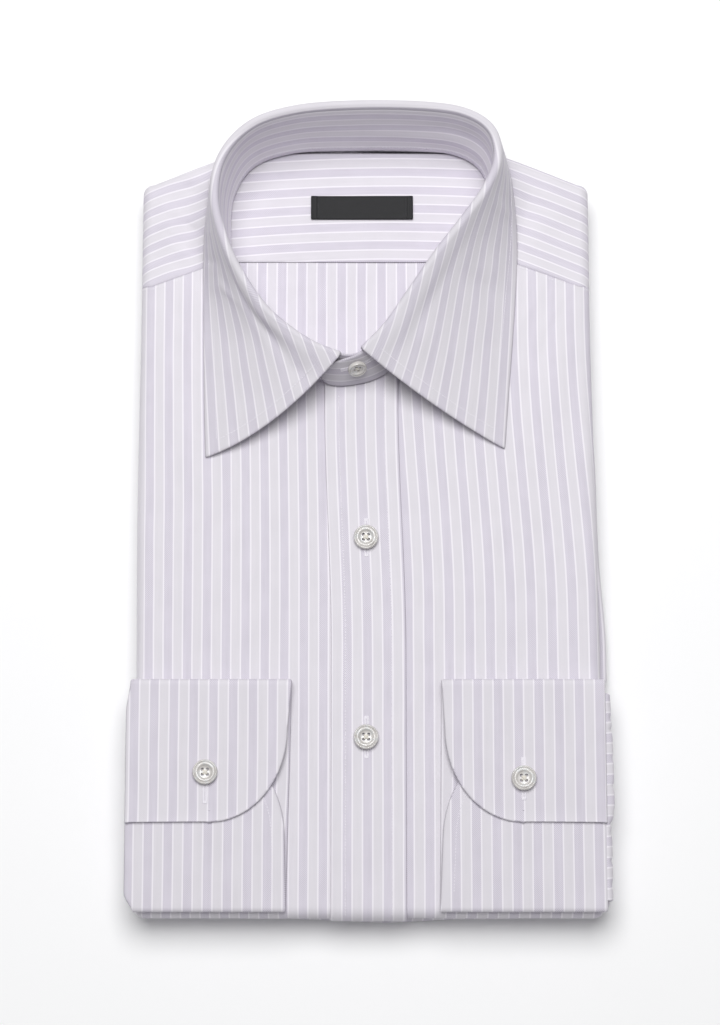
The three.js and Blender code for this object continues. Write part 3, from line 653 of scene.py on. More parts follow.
# %% The back and the inner yoke
INNER_SEAM_Y, INNER_REACH = 124.3, 103.0
INNER_DEPTH = WALL + GAP + WALL / 2
x = np.linspace(-INNER_REACH, INNER_REACH, 90)[None, :]
y = np.linspace(FLAT_LOW + WALL, INNER_SEAM_Y - 0.5, 130)[:, None]
inside_relief = 0.25 * np.sin(x / 17 + 1) * np.sin(y / 29) * soft_step(y, 60, 90)
back_middle = folded(x + 0 * y, y + 0 * x, INNER_DEPTH, inside_relief)
back, back_face, _ = cloth_wall(
    "back", back_middle, x + 2.1 + 0 * y, y + 0 * x, CLOTH, "back", rests_on=["under_layers_1"], held="folded"
)
top = shoulder_fold(x) - FOLD_RADIUS
turned = np.where(np.abs(x) < SHOULDER_FLAT, 0.9, 0.2)
rise = np.linspace(0, 1, 50)[:, None]
y = np.concatenate([INNER_SEAM_Y + 0.5 + rise * (top - INNER_SEAM_Y - 0.5), top + turned])
x = np.broadcast_to(x, y.shape)
droop = 0.0006 * (x - 12) ** 2
yoke_in_middle = folded(x, y, INNER_DEPTH, np.minimum(0, humps(YOKE_DENTS, x, y)))
yoke_inner, inner_face, _ = cloth_wall(
    "yoke_inner", yoke_in_middle, (y + droop - 124.3) * 1.045 + 0.6, x, CLOTH, "yoke_inner",
    rests_on=["under_layers_1"],
)

# %% [markdown]
# ## The placket
# The buttonhole band is a doubled strip down the wearer's left front. It lies on both fronts, so it
# copies their ridges and stays a hair above them.

# %% The placket
PLACKET_LEFT, PLACKET_RIGHT, PLACKET_LEAN, PLACKET_TURN = -16.6, 19.0, -3.4, math.radians(100)
column = np.linspace(PLACKET_LEFT + 0.45, PLACKET_RIGHT - 0.45, 61)[None, :]
v = np.concatenate([np.linspace(-1, 0, 11)[:-1], np.linspace(0, 1, 190)])[:, None]
y = np.where(v < 0, FLAT_LOW + v * PLACKET_TURN * FOLD_RADIUS,
             FLAT_LOW + v * (neck_low(column + PLACKET_LEAN) - FLAT_LOW))
x = column + PLACKET_LEAN * soft_step(y, -65, 55)
from_middle = np.abs(column - 1.2)
pucker = 0.07 * np.sin(y / 1.9 + np.sin(y / 11)) * np.exp(-(((from_middle - 11.3) / 1.6) ** 2))
placket_middle = folded(x, y, -GAP - WALL / 2, humps(RIDGES, x, y) + pucker)
placket, placket_face, placket_facing = cloth_wall(
    "placket", placket_middle, (column - 0.7) * 1.008 + 0 * y, y, CLOTH, "placket",
    rests_on=["front_right", "front_left"], held="folded",
)

# %% [markdown]
# ## The collar stand
# The stand is the upright band that the neck is sewn to. Its two ends lap at the front under the
# first button. A station's band rises from the foot towards the fold, and the lapped ends lie a
# little outside or inside the middle line.

# %% The collar stand
STAND_DROP, TAB_LIFT, COLLAR_WALL = 3.0, 0.95, 1.2
UNDER_END = [(7, 83, 46.5, 9, 70.5, 24.8, 0.05, 0.9), (-3, 74.6, 45.6, -3, 64, 25.3, 0, 1)]
TAB_END = [
    (-11.5, 72.6, 45, -8, 63.2, 25.4, 0, 1),
    (-19, 72.4, 43.5, -17, 63.2, 25.4, 0.02, 0.88),
    (-22.5, 73, 43, -20.5, 64.4, 25.4, 0.16, 0.62),
]
offsets = np.zeros(len(NECK))
offsets[:2], offsets[-2:] = -TAB_LIFT, TAB_LIFT
STAND = np.array(
    [(*row, -TAB_LIFT) for row in UNDER_END]
    + [(*row[:6], 0, 1, offset) for row, offset in zip(NECK, offsets)]
    + [(*row, TAB_LIFT) for row in TAB_END]
)
LAST_STAND = len(STAND) - 1


def ring_frame(rows, place):
    """At each place: the row's values, the way up from foot to fold, and the way out of the ring."""
    last = len(rows) - 1
    here = smooth_line(rows, place)
    nudge = 0.02
    ahead = smooth_line(rows, np.clip(place + nudge, 0, last))
    behind = smooth_line(rows, np.clip(place - nudge, 0, last))
    up = unit(here[..., :3] - here[..., 3:6])
    along = (ahead - behind)[..., :3] + (ahead - behind)[..., 3:6]
    return here, up, unit(np.cross(up, along))


STAND_DENTS = columns_of(
    "x y length width lean height",
    [
        (9.6, 0.55, 0.4, 0.8, 0, 0.9),
        (8.9, 0.7, 0.5, 0.5, 0, -0.7),
        (13.4, 0.35, 0.18, 1.3, 0, -0.8),
        (14.3, 0.62, 0.14, 1.5, 0, 0.9),
        (15.2, 0.3, 0.14, 1.2, 0, -0.7),
        (16, 0.7, 0.2, 1.0, 0, 0.6),
    ],
)
place = np.linspace(0, LAST_STAND, 300)[None, :]
share = np.linspace(0, 1, 26)[:, None]
here, up_way, out_way = ring_frame(STAND, place)
height = np.linalg.norm(here[..., :3] - here[..., 3:6], axis=-1) - STAND_DROP
kept = here[..., 6] + (here[..., 7] - here[..., 6]) * share
dent = humps(STAND_DENTS, place + 0 * share, share + 0 * place) * np.sin(np.pi * share)
stand_middle = (
    here[..., 3:6]
    + up_way * (kept * height)[..., None]
    + out_way * (here[..., 8] + dent)[..., None]
)
along_stand = np.concatenate([[0], np.cumsum(np.linalg.norm(np.diff(stand_middle[13], axis=0), axis=-1))])
collar_stand, stand_face, stand_facing = cloth_wall(
    "collar_stand", stand_middle, kept * height - 1.2 + 0 * place, along_stand[None, :] + 0 * share,
    COLLAR_WALL, "collar_stand", stand_inside_lit_cotton, rests_on=["yoke_outer", "front_left"], held="folded",
)
# The faces toward the neck keep the lighter copy (painted light); the faces away from it and the rim take the darker
# copy (painted shade).
collar_stand.data.materials.append(stand_outside_shaded_cotton.material)
on_one_side = (stand_middle.shape[0] - 1) * (stand_middle.shape[1] - 1)
painted_light_side = (np.arange(len(collar_stand.data.polygons)) >= on_one_side).astype(np.int32)
collar_stand.data.polygons.foreach_set("material_index", painted_light_side)
collar_stand.data.update()

# %% [markdown]
# ## The collar leaf
# The leaf is sewn to the stand, turns over at the fold and falls to its points. It is stiffened, so
# it stays smooth and only dips a little between fold and edge. It was cut flat with its stripes
# running along the collar, so its map is found by laying it flat again: the stripes then run down
# each wing aslant and out into its edges, as they do on the real collar.

# %% The collar leaf
def laid_flat(grid, row, centre):
    """Lays a bent piece flat. One row keeps its steps and its turns within the cloth, and the lines
    across it leave it at their own angle and keep their lengths."""
    line, facing = grid[row], grid_normals(grid)[row]
    step = np.diff(line, axis=0)
    before, after = unit(step[:-1]), unit(step[1:])
    turn = np.arctan2((np.cross(before, after) * facing[1:-1]).sum(-1), (before * after).sum(-1))
    heading = np.concatenate([[0], np.cumsum(turn)])
    heading = heading - heading[centre]
    moved = np.linalg.norm(step, axis=-1)[:, None] * np.stack([np.cos(heading), np.sin(heading)], -1)
    flat = np.concatenate([[(0, 0)], np.cumsum(moved, axis=0)])
    there = np.concatenate([heading[:1], (heading[1:] + heading[:-1]) / 2, heading[-1:]])
    along, across = np.gradient(line, axis=0), grid[row + 1] - grid[row - 1]
    angle = there + np.arctan2((np.cross(along, across) * facing).sum(-1), (along * across).sum(-1))
    lengths = np.linalg.norm(np.diff(grid, axis=0), axis=-1)
    down = np.concatenate([np.zeros((1, len(line))), np.cumsum(lengths, axis=0)])
    way = np.stack([np.cos(angle), np.sin(angle)], -1)
    return (flat - flat[centre])[None] + (down - down[row])[..., None] * way[None]


FOLD_ROLL, SEAM_DROP, LEAF_SAG = 1.5, 2.7, 2.2
LEAF_CREASES = columns_of(
    "x y length width lean height",
    [
        (1.9, 1.06, 0.05, 2.1, 0, 0.8),
        (2.2, 1.19, 0.055, 1.5, 0, -1.2),
        (0.7, 1.21, 0.06, 0.45, 0, -1.0),
        (18.4, 1.06, 0.05, 1.9, 0, 0.6),
        (3.6, 1.62, 0.2, 0.2, 2, 0.5),
        (4.3, 1.7, 0.22, 0.16, -2, -0.5),
        (5.2, 1.6, 0.3, 0.18, 0, 0.45),
        (1.1, 1.62, 0.1, 0.5, 0, -0.4),
        (17.4, 1.3, 0.12, 0.4, 4, -0.5),
        (15.2, 1.6, 0.3, 0.16, 0, 0.5),
        (19.3, 1.72, 0.1, 0.5, 0, 0.45),
        (18.2, 1.18, 0.055, 1.3, 0, -0.7),
        (3.5, 1.45, 0.08, 0.35, 20, 0.45),
        (1.5, 1.5, 0.3, 0.5, 0, 0.4),
        (4.4, 1.5, 0.2, 0.3, 0, -0.35),
        (16.6, 1.62, 0.16, 0.28, 0, 0.55),
        (17.1, 1.5, 0.2, 0.22, 0, -0.5),
        (17.7, 1.66, 0.14, 0.3, 0, 0.5),
        (16.2, 1.4, 0.2, 0.3, 0, -0.35),
        (18.6, 1.5, 0.3, 0.5, 0, 0.35),
    ],
)
t = np.linspace(0, LAST_STATION, 340)
here, up_way, out_way = ring_frame(NECK, t)
fold, edge, bow = here[:, :3], here[:, 6:9], here[:, 9]
roll_start = fold - FOLD_ROLL * up_way


def on_roll(turn):
    """A point round the fold: it rises with the sine of the turn and goes out with one less its cosine."""
    turn = np.asarray(turn)[..., None]
    return roll_start + FOLD_ROLL * (up_way * np.sin(turn) + out_way * (1 - np.cos(turn)))


turn = np.full(len(t), math.pi / 2)
for _ in range(12):
    reach = edge - on_roll(turn)
    turn = np.arctan2((reach * out_way).sum(-1), (reach * up_way).sum(-1))
sewn = np.linspace(-1, 0, 5)[:-1, None]
rolling = np.linspace(0, 1, 10)[:-1, None]
falling = np.linspace(0, 1, 46)[:, None]
leaf_sewn = roll_start + (sewn * (SEAM_DROP - FOLD_ROLL))[..., None] * up_way
leaf_roll = on_roll(rolling * turn)
hollow = 4 * falling * (1 - falling)
leaf_fall = on_roll(turn) * (1 - falling)[..., None] + edge * falling[..., None]
leaf_fall[..., 1] -= bow * hollow
spread = soft_step(np.hypot(*(edge - fold)[:, :2].T), 12, 40)
leaf_fall[..., 2] -= LEAF_SAG * spread * hollow
leaf_middle = np.concatenate([leaf_sewn, leaf_roll, leaf_fall])
row_place = np.concatenate([sewn, rolling, 1 + falling])
lift = humps(LEAF_CREASES, t[None, :] + 0 * row_place, row_place + 0 * t[None, :])
leaf_middle = leaf_middle + grid_normals(leaf_middle) * (lift * (row_place > 1))[..., None]
centre_back = len(t) // 2
leaf_flat = laid_flat(leaf_middle, 36, centre_back)
near_end = np.minimum(t, LAST_STATION - t)
in_wing = 1 - soft_step(near_end, 3, 6.5)
from_outer = np.where(leaf_middle[..., 0] < 0, 78, 70) - np.abs(leaf_middle[..., 0])
pulled = 0.3 * (from_outer / 65) ** 2 * 40 * np.tanh((76 - leaf_middle[..., 1]) / 40) * in_wing
leaf_across = (leaf_flat[-1, centre_back, 1] - leaf_flat[..., 1]) * (1 + 0.06 * in_wing) - pulled + 2.2
# The leaf takes the darker copy of the cotton: painted shade.
collar_leaf, leaf_face, leaf_facing = cloth_wall(
    "collar_leaf", leaf_middle, leaf_across, leaf_flat[..., 0], COLLAR_WALL, "collar_leaf", leaf_shaded_cotton,
    rests_on=["collar_stand"], held="folded",
)
print("leaf laid flat rises", round(float(np.ptp(leaf_across)), 1), "mm")

# %% [markdown]
# ## The cuffs
# Each cuff is a stiff band buttoned into a ring and pressed flat, so one walks round its section
# like a squashed tube: from the button end, round the low fold, under, round the high fold and
# down to the buttonhole end. Its free corners are cut round.

# %% The cuffs
CUFF_WALL, CUFF_TOP, CUFF_BOTTOM, LAP_END, UNDER_LAP_END = 1.3, -81.3, -189.2, -148.0, -110.0
CORNER_ALONG, CORNER_ACROSS = 36.0, 44.0
CUFF_LOW_Z, CUFF_UNDER_Z, CUFF_LAP_Z = 24.2, 26.4, 28.0
ARMS = {
    "right": dict(side=-1, wrist=[39.8, 38.2, 35.8, 37.6], seam=112.6, button=(75.6, -124.8), band=-99.9,
                  repeat=9.3, shift=2.2, start=108.6, top_z=22.2, out=110.6, foot_turn=8),
    "left": dict(side=1, wrist=[38.4, 35.2, 36.3, 37.6], seam=112.3, button=(74.0, -127.6), band=43.2,
                 repeat=9.57, shift=1.1, start=112.6, top_z=26.2, out=115.4, foot_turn=50),
}


def cuff_section():
    """Rows of y, z, distance to a free end and place in the wrist list, round the squashed tube."""
    low, high = (CUFF_UNDER_Z - CUFF_LOW_Z) / 2, (CUFF_LAP_Z - CUFF_LOW_Z) / 2
    end = CORNER_ACROSS * (1 - np.cos(np.linspace(0, math.pi / 2, 40)))
    half = np.linspace(0, math.pi, 14)
    full, flat = np.full(14, 60.0), np.zeros(40)
    free = end / (UNDER_LAP_END - CUFF_BOTTOM)
    button_end = [UNDER_LAP_END - end, flat + CUFF_UNDER_Z, end, free]
    low_fold = [CUFF_BOTTOM + low * (1 - np.sin(half)), CUFF_LOW_Z + low * (1 + np.cos(half)), full, full / 60]
    high_fold = [CUFF_TOP - high * (1 - np.sin(half)), CUFF_LOW_Z + high * (1 - np.cos(half)), full, full / 30]
    lap_end = [LAP_END + end[::-1], flat + CUFF_LAP_Z, end[::-1], flat + 3]
    rows = np.concatenate([np.stack(part, -1) for part in (button_end, low_fold, high_fold, lap_end)])
    length = np.concatenate([[0], np.cumsum(np.hypot(*np.diff(rows[:, :2], axis=0).T))])
    near_end = 1 - np.cos(np.linspace(0, 0.3, 20))
    crowded = np.concatenate([np.linspace(0, 1, 260), near_end, 1 - near_end]) * length[-1]
    spaced = np.unique(crowded.round(3))
    return np.stack([np.interp(spaced, length, rows[:, k]) for k in range(4)], -1), spaced


def corner_inset(to_end):
    """How far the wrist edge draws in near a free end: a quarter of an ellipse."""
    share = np.clip(1 - to_end / CORNER_ACROSS, 0, 1)
    return CORNER_ALONG * (1 - np.sqrt(1 - share**2))


def cuff_piece(word, arm):
    section, length = cuff_section()
    y, z, to_end, place = (section[:, k, None] for k in range(4))
    u = np.linspace(0, 1, 56)[None, :: -arm["side"]]
    wrist = np.interp(place, range(4), arm["wrist"]) + corner_inset(to_end)
    seam = arm["seam"] + 0 * y
    if word == "right":
        seam = seam - 1.9 * (1 - soft_step(-y, 81, 97)) - 4 * soft_step(-y, 181, 190)
    x = wrist + (seam - wrist) * u
    y, z = y + 0 * u, z + 0 * u
    pillow = 0.25 * np.sin(np.pi * u) * soft_step(to_end, 4, 30)
    on_lap, shown = np.where(z > CUFF_LAP_Z - 0.1, 1, 0), np.where(z > CUFF_LOW_Z + 0.5, 1, 0)
    wavy = 0.1 * np.sin(x / 13 + length[:, None] / 31) * on_lap
    curl = 0.55 * np.maximum(np.exp(-(x - wrist) / 3), np.exp(-to_end / 2.5)) * on_lap
    middle = np.stack([arm["side"] * x, y + wavy, z + pillow * shown + curl], -1)
    to_lap = soft_step(length[:, None], 90, 150)
    across = (arm["side"] * x - arm["band"] + arm["shift"] * (1 - to_lap)) * REPEAT / arm["repeat"]
    # The cuff takes the darker copy of the cotton: painted shade.
    made, face, facing = cloth_wall(
        f"cuff_{word}", middle, across, length[:, None] + 0 * x, CUFF_WALL, f"cuff_{word}", cuff_shaded_cotton,
        rests_on=["front_" + word], held="folded",
    )
    return made, face[:, :: -arm["side"]], facing[:, :: -arm["side"]]


cuffs = {word: cuff_piece(word, arm) for word, arm in ARMS.items()}

# %% [markdown]
# ## The sleeve ends
# What shows of a sleeve is the strip beside its cuff: it leaves the cuff's seam, turns over the side
# of the pile and goes under. Its stripes run along the arm, and small pleats gather it to the cuff.

# %% The sleeve ends
SLEEVE_LOW_Z, SLEEVE_LOW_Y, SLEEVE_HIGH_Y = 1.3, -184.0, -88.0
FLARE_Y, FLARE = [-184, -160, -150, -140, -120, -103, -88], [-0.6, -0.4, -0.4, 1.2, 1.0, 0.2, -0.6]
PLEATS = [(-99, 0.7, 1.6), (-104.5, 1, 1.3), (-118, 0.6, 2), (-131, 0.8, 1.5), (-148.5, 1.2, 1.4),
          (-153, 0.7, 1.8), (-166, 0.9, 1.5), (-177, 0.6, 1.9)]


def sleeve_path(arm):
    """The section of the strip: a short flat, an arc over the side, the side, and an arc at its foot."""
    shoulder, foot = min(4.5, arm["out"] - arm["start"]), 3.5
    over = np.radians(np.linspace(80, 0, 9))
    under = np.radians(np.linspace(0, -arm["foot_turn"], 9))
    x = np.concatenate([[arm["start"]], arm["out"] - shoulder + shoulder * np.cos(over),
                        arm["out"] - foot + foot * np.cos(under)])
    z = np.concatenate([[arm["top_z"]], arm["top_z"] - shoulder + shoulder * np.sin(over),
                        SLEEVE_LOW_Z + foot + foot * np.sin(under)])
    length = np.concatenate([[0], np.cumsum(np.hypot(np.diff(x), np.diff(z)))])
    spaced = np.linspace(0, length[-1], 40)
    return np.interp(spaced, length, x), np.interp(spaced, length, z), spaced


def sleeve_piece(word, arm):
    path_x, path_z, length = sleeve_path(arm)
    y, length = np.linspace(SLEEVE_LOW_Y, SLEEVE_HIGH_Y, 150)[None, :], length[:, None]
    tucks = sum(-deep * np.exp(-(((y - middle) / wide) ** 2)) for middle, deep, wide in PLEATS)
    bulge = 0.4 * np.sin(y / 15 + 1) * np.sin(np.pi * length / length[-1])
    flare = np.interp(y, FLARE_Y, FLARE) * (1 if word == "left" else 0)
    shown = soft_step(length, 0.4, 3)
    x = path_x[:, None] + (tucks * np.exp(-length / 18) + flare) * shown + bulge
    middle = np.stack([arm["side"] * x, y + 0 * x, path_z[:, None] + 0 * y], -1)
    return cloth_wall(f"sleeve_{word}", middle, y - 0.1 * length + 2, length + 0 * y, 1.2, f"sleeve_{word}",
                      rests_on=["under_layers_1"], held="folded")


sleeves = {word: sleeve_piece(word, arm) for word, arm in ARMS.items()}

# %% [markdown]
# ## The layers underneath
# Under the fronts lie the folded back, the sleeves and the tail, pressed into a stack. Only their
# rolled edges show, so each layer is one flat roll: the folded outline swept round a half circle,
# with its own small waves so that the edges never line up.


# %% The layers underneath
def outline(inset, low_y, high_y, reach):
    """Points round a folded layer seen from above."""
    half = reach - inset
    shoulder, low = np.linspace(-half, half, 90), np.linspace(-half, half, 70)
    top = np.minimum(shoulder_fold(shoulder) - inset, high_y - inset)
    side_y = np.linspace(low_y + inset, top[0], 130)[1:-1]
    points = np.concatenate([
        np.stack([low, np.full(70, low_y + inset)], -1),
        np.stack([np.full(128, half), side_y], -1),
        np.stack([shoulder[::-1], top[::-1]], -1),
        np.stack([np.full(128, -half), side_y[::-1]], -1),
    ])
    for _ in range(10):
        points = (np.roll(points, 1, 0) + 2 * points + np.roll(points, -1, 0)) / 4
    return points


def pulled_out(points, sag, high_flare, low_flare):
    """The hem sags towards its middle, and one side stands out below the chest and at the corner."""
    x, y = points[:, 0], points[:, 1]
    hem = 1 - soft_step(y, HEM_Y, HEM_Y + 24)
    on_side = soft_step(x, 70, HALF_WIDTH)
    below_chest = (1 - 0.55 * soft_step(y, -70, -25) - 0.45 * soft_step(y, -20, 90)) * soft_step(y, -86, -80)
    x = x + on_side * (high_flare * below_chest + low_flare * soft_step(-y, 140, 188))
    return np.stack([x, y - sag * hem * (1 - np.abs(points[:, 0] - 8) / 46)], -1)


def under_layer(number, low_z, high_z, inset, low_y, high_y, reach, sag, high_flare, low_flare):
    """One pressed roll of cloth between two heights, with a half circle round its edge."""
    rng = np.random.default_rng(number)
    ring = outline(inset, low_y, high_y, reach)
    lap = np.linspace(0, 2 * math.pi, len(ring), endpoint=False)
    wander = sum(np.sin(lap * k + rng.uniform(0, 6)) for k in (3, 7, 12, 19)) * 0.2
    along = unit(np.roll(ring, -1, 0) - np.roll(ring, 1, 0))
    out = np.stack([along[:, 1], -along[:, 0]], -1)
    half = (high_z - low_z) / 2
    turns = np.radians(np.linspace(-90, 90, 13))[:, None]
    sink = half * (1 - np.cos(turns))
    spread = pulled_out(ring + out * wander[:, None], sag, high_flare, low_flare)
    xy = spread[None] - sink[..., None] * out[None]
    points = np.stack([askew(xy[..., 0], xy[..., 1]), xy[..., 1], low_z + half + half * np.sin(turns) + 0 * sink * lap], -1)
    flat = ring[None] + (half * (math.pi / 2 - turns) - half)[..., None] * out[None]
    index = np.arange(points[..., 0].size).reshape(points.shape[:2])
    after = np.roll(index, -1, axis=1)
    sides = np.stack([index[:-1], after[:-1], after[1:], index[1:]], -1).reshape(-1, 4)
    faces = sides.tolist() + [index[-1].tolist(), index[0][::-1].tolist()]
    name = f"under_layers_{number}"
    made = new_mesh_object(name, points.reshape(-1, 3), faces, flat.reshape(-1, 2))
    paint(made, cotton)
    size = np.ptp(points.reshape(-1, 3), axis=0) * MM
    area = sum(face.area for face in made.data.polygons) / 2
    sheets[name] = dict(piece=made, flat=(max(size[0], area / size[1]), float(size[1])), held="folded")
    return made


LAYERS = [
    # low_z, high_z, inset, low_y, high_y, reach, sag, high_flare, low_flare
    (15.4, 20.3, 2.9, -192.5, 999, 110.5, 0, 0, 0),
    (10.3, 14.6, 1.4, -192.5, 999, 110.5, 0.6, 1.5, 0),
    (6.9, 10.2, 0.2, -192.5, 999, 110.5, 1.2, 4.2, 0),
    (4.1, 6.8, 1.6, -192.0, 172, 109.5, 2.0, 3.6, 1),
    (1.3, 4.0, 0.8, -192.5, 172, 110.5, 2.6, 2, 1.5),
    (0.0, 1.2, 0.4, -192.5, 60, 110.5, 2.2, 0, 5),
]
under_layers = [under_layer(k + 1, *row) for k, row in enumerate(LAYERS)]
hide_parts("folded_layers")
print(len(under_layers), "folded layers")

# %% [markdown]
# ## Buttons
# Mother of pearl buttons are turned from shell: a round disc with a raised rim, a fine groove, a
# second ring and four holes in a hollow middle. A profile carried round a circle gives the disc, and
# four drilled rods cut the holes. The pearl is pale and cloudy, and its gloss is a clear coat.

# %% The pearl
pearl = Finish("mother_of_pearl", Roughness=0.22, Coat_Weight=0.6, Coat_Roughness=0.08, IOR=1.52)
place = pearl.node("ShaderNodeTexCoord").outputs["Object"]
clouds = pearl.cloudiness(place, 220.0, 4.0)
rings = pearl.maths("SINE", pearl.cloudiness(place, 90.0, 2.0) * 40)
shell_tone = (clouds * 1.5 + 0.5 + rings * 0.14)
warm = pearl.blend(shell_tone, (0.44, 0.42, 0.4, 1), (0.74, 0.715, 0.69, 1))
pearl.colour(pearl.blend(pearl.ramp_up(rings, 0.4, 1.0) * 0.3, warm, (0.52, 0.57, 0.6, 1)))
pearl.roughness(0.22 + clouds * 0.12)
pearl.bump(clouds, 0.00005, 0.5)
print("pearl ready")

# %% The buttons
BUTTON_RADIUS, COLLAR_BUTTON_RADIUS, BUTTON_THICK, HOLE_RADIUS, HOLE_SPREAD = 5.9, 4.6, 2.6, 1.0, 1.65
BUTTON_PROFILE = np.array([
    (0, 0), (4.6, 0), (5.4, 0.25), (5.8, 0.7), (5.9, 1.2), (5.9, 1.8), (5.78, 2.2), (5.55, 2.5), (5.3, 2.6),
    (5.1, 2.52), (4.95, 2.3), (4.8, 2.2), (4.65, 2.28), (4.45, 2.42), (4.1, 2.48), (3.7, 2.42), (3.4, 2.25),
    (3.15, 1.85), (2.9, 1.68), (2.2, 1.62), (1.1, 1.56), (0, 1.54),
])


def turned_disc(radius):
    """The profile carried round the axis: distance times the cosine and sine of the angle."""
    size = radius / 5.9
    angle = np.linspace(0, 2 * math.pi, 72, endpoint=False)
    body = BUTTON_PROFILE[1:-1]
    ring = np.stack([np.outer(body[:, 0] * size, np.cos(angle)), np.outer(body[:, 0] * size, np.sin(angle)),
                     np.outer(body[:, 1], np.ones(72))], -1)
    index = np.arange(ring.shape[0] * 72).reshape(-1, 72)
    after = np.roll(index, -1, axis=1)
    faces = np.stack([index[:-1], after[:-1], after[1:], index[1:]], -1).reshape(-1, 4).tolist()
    return ring.reshape(-1, 3), faces + [index[0][::-1].tolist(), index[-1].tolist()]


def frame_of(facing, ahead=(0, 1, 0)):
    """Three square directions as columns: across, ahead, and the way the piece faces."""
    facing = unit(np.array(facing, float))
    across = unit(np.cross(ahead, facing))
    return np.stack([across, np.cross(facing, across), facing], 1)


def make_button(name, radius, place, facing):
    points, faces = turned_disc(radius)
    turn, size = frame_of(facing), radius / 5.9
    made = new_mesh_object(name, points @ turn.T + place, faces)
    for k, angle in enumerate(np.radians([45, 135, 225, 315])):
        at = turn @ (HOLE_SPREAD * size * np.array([math.cos(angle), math.sin(angle), 0])) + place
        ends = np.linspace(0, 2 * math.pi, 14, endpoint=False)
        rod = np.stack([np.cos(ends), np.sin(ends), 0 * ends], -1) * HOLE_RADIUS * size * 0.8
        shaft = np.concatenate([rod - [0, 0, 1], rod + [0, 0, 5]]) @ turn.T + at
        walls = [[i, (i + 1) % 14, (i + 1) % 14 + 14, i + 14] for i in range(14)]
        drill = add_object("drill", bpy.data.meshes.new("drill"))
        drill.data.from_pydata((shaft * MM).tolist(), [], walls + [list(range(14))[::-1], list(range(14, 28))])
        cut = made.modifiers.new("hole", "BOOLEAN")
        cut.object, cut.operation, cut.solver = drill, "DIFFERENCE", "EXACT"
        bpy.context.view_layer.update()
        cut_mesh = bpy.data.meshes.new_from_object(made.evaluated_get(bpy.context.evaluated_depsgraph_get()))
        made.modifiers.clear()
        made.data = cut_mesh
        bpy.data.objects.remove(drill)
    made.data.polygons.foreach_set("use_smooth", np.full(len(made.data.polygons), True))
    made.data.set_sharp_from_angle(angle=math.radians(50))
    paint(made, pearl)
    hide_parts(name)
    return made


on_placket, on_cuff = 24.8, 28.95
button_places = {
    "button_front_1": (BUTTON_RADIUS, (0, -12.4, on_placket), (0, 0, 1)),
    "button_front_2": (BUTTON_RADIUS, (0, -108, on_placket), (0, 0, 1)),
    "button_cuff_right": (BUTTON_RADIUS, (-75.6, -124.8, on_cuff), (0, 0, 1)),
    "button_cuff_left": (BUTTON_RADIUS, (74.0, -127.6, on_cuff), (0, 0, 1)),
}
seat_place = len(NECK) + 1.5
here, seat_up, seat_out = ring_frame(STAND, np.array([seat_place]))
seat_height = float(np.linalg.norm(here[0, :3] - here[0, 3:6])) - STAND_DROP
seat_kept = here[0, 6] + (here[0, 7] - here[0, 6]) * 0.66
seat = here[0, 3:6] + seat_up[0] * seat_kept * seat_height + seat_out[0] * (here[0, 8] + COLLAR_WALL / 2 + GAP)
button_places["button_collar"] = (COLLAR_BUTTON_RADIUS, seat, seat_out[0])
buttons = {name: make_button(name, *spot) for name, spot in button_places.items()}
print(len(buttons), "buttons")

# %% [markdown]
# ## Thread
# The shirt is sewn with fine thread that matches the cloth. A stitch is a short bar with round ends,
# half sunk in the cloth, and one mesh holds a whole row of them. A buttonhole is two rows of bars
# laid across a slit, and a button is held by two strands that cross between its holes.

# %% Bars of thread
BAR_ENDS = np.array([(-0.5, 0.3), (-0.44, 0.8), (-0.3, 1), (0.3, 1), (0.44, 0.8), (0.5, 0.3)])
BAR_SIDES = np.linspace(0, 2 * math.pi, 6, endpoint=False)


def thread_finish(name, low, high):
    """Twisted thread: paler on its strands, darker between them."""
    made = Finish(name, Roughness=0.6, Sheen_Weight=0.2)
    grain = made.cloudiness(made.node("ShaderNodeTexCoord").outputs["Object"], 4000.0, 1.0)
    made.colour(made.blend(grain * 1.6 + 0.5, low, high))
    made.bump(grain, 0.00004, 0.6)
    return made


def bars(name, on, middle, ahead, up, long, wide, finish, dip=0.0):
    """Round-ended bars: six rings of six points along each, with ends that dip by a share of its width."""
    count = len(middle)
    ahead, up = (np.broadcast_to(way, (count, 3))[:, None, None] for way in (ahead, up))
    across = np.cross(up, ahead)
    s, r = (BAR_ENDS[:, k][None, :, None, None] for k in (0, 1))
    angle = BAR_SIDES[None, None, :, None]
    about = np.cos(angle) * across + np.sin(angle) * up
    centre = np.asarray(middle)[:, None, None] + s * long * ahead - dip * np.abs(2 * s) ** 6 * up
    points = (centre + r * wide / 2 * about).reshape(-1, 3)
    ring = np.arange(36).reshape(6, 6)
    after = np.roll(ring, -1, axis=1)
    sides = np.stack([ring[:-1], after[:-1], after[1:], ring[1:]], -1).reshape(-1, 4)
    start = 36 * np.arange(count)[:, None, None]
    caps = np.stack([ring[0, ::-1], ring[-1]])
    made = new_mesh_object(name, points, (sides + start).reshape(-1, 4).tolist() + (caps + start).reshape(-1, 6).tolist())
    paint(made, finish)
    "label_satin" if on == "label" else "striped_cotton"
    sewn_on.setdefault(on, []).append(made)
    return made


sewn_on = {}
cloth_thread = thread_finish("cloth_thread", (0.74, 0.71, 0.77, 1), (0.92, 0.9, 0.94, 1))
cream_thread = thread_finish("cream_thread", (0.7, 0.66, 0.58, 1), (0.88, 0.85, 0.78, 1))
black_thread = thread_finish("black_thread", (0.01, 0.01, 0.012, 1), (0.04, 0.04, 0.045, 1))
print("thread ready")


# %% Rows of stitches
def moved_in(edge, facing, distance):
    """An edge moved sideways within the cloth, to the left of the way it runs."""
    return edge + distance * unit(np.cross(facing, unit(np.gradient(edge, axis=0))))


def clear_of(line, other, distance):
    """Which points of a line keep their distance from another line."""
    return np.linalg.norm(line[:, None] - other[None], axis=-1).min(1) > distance


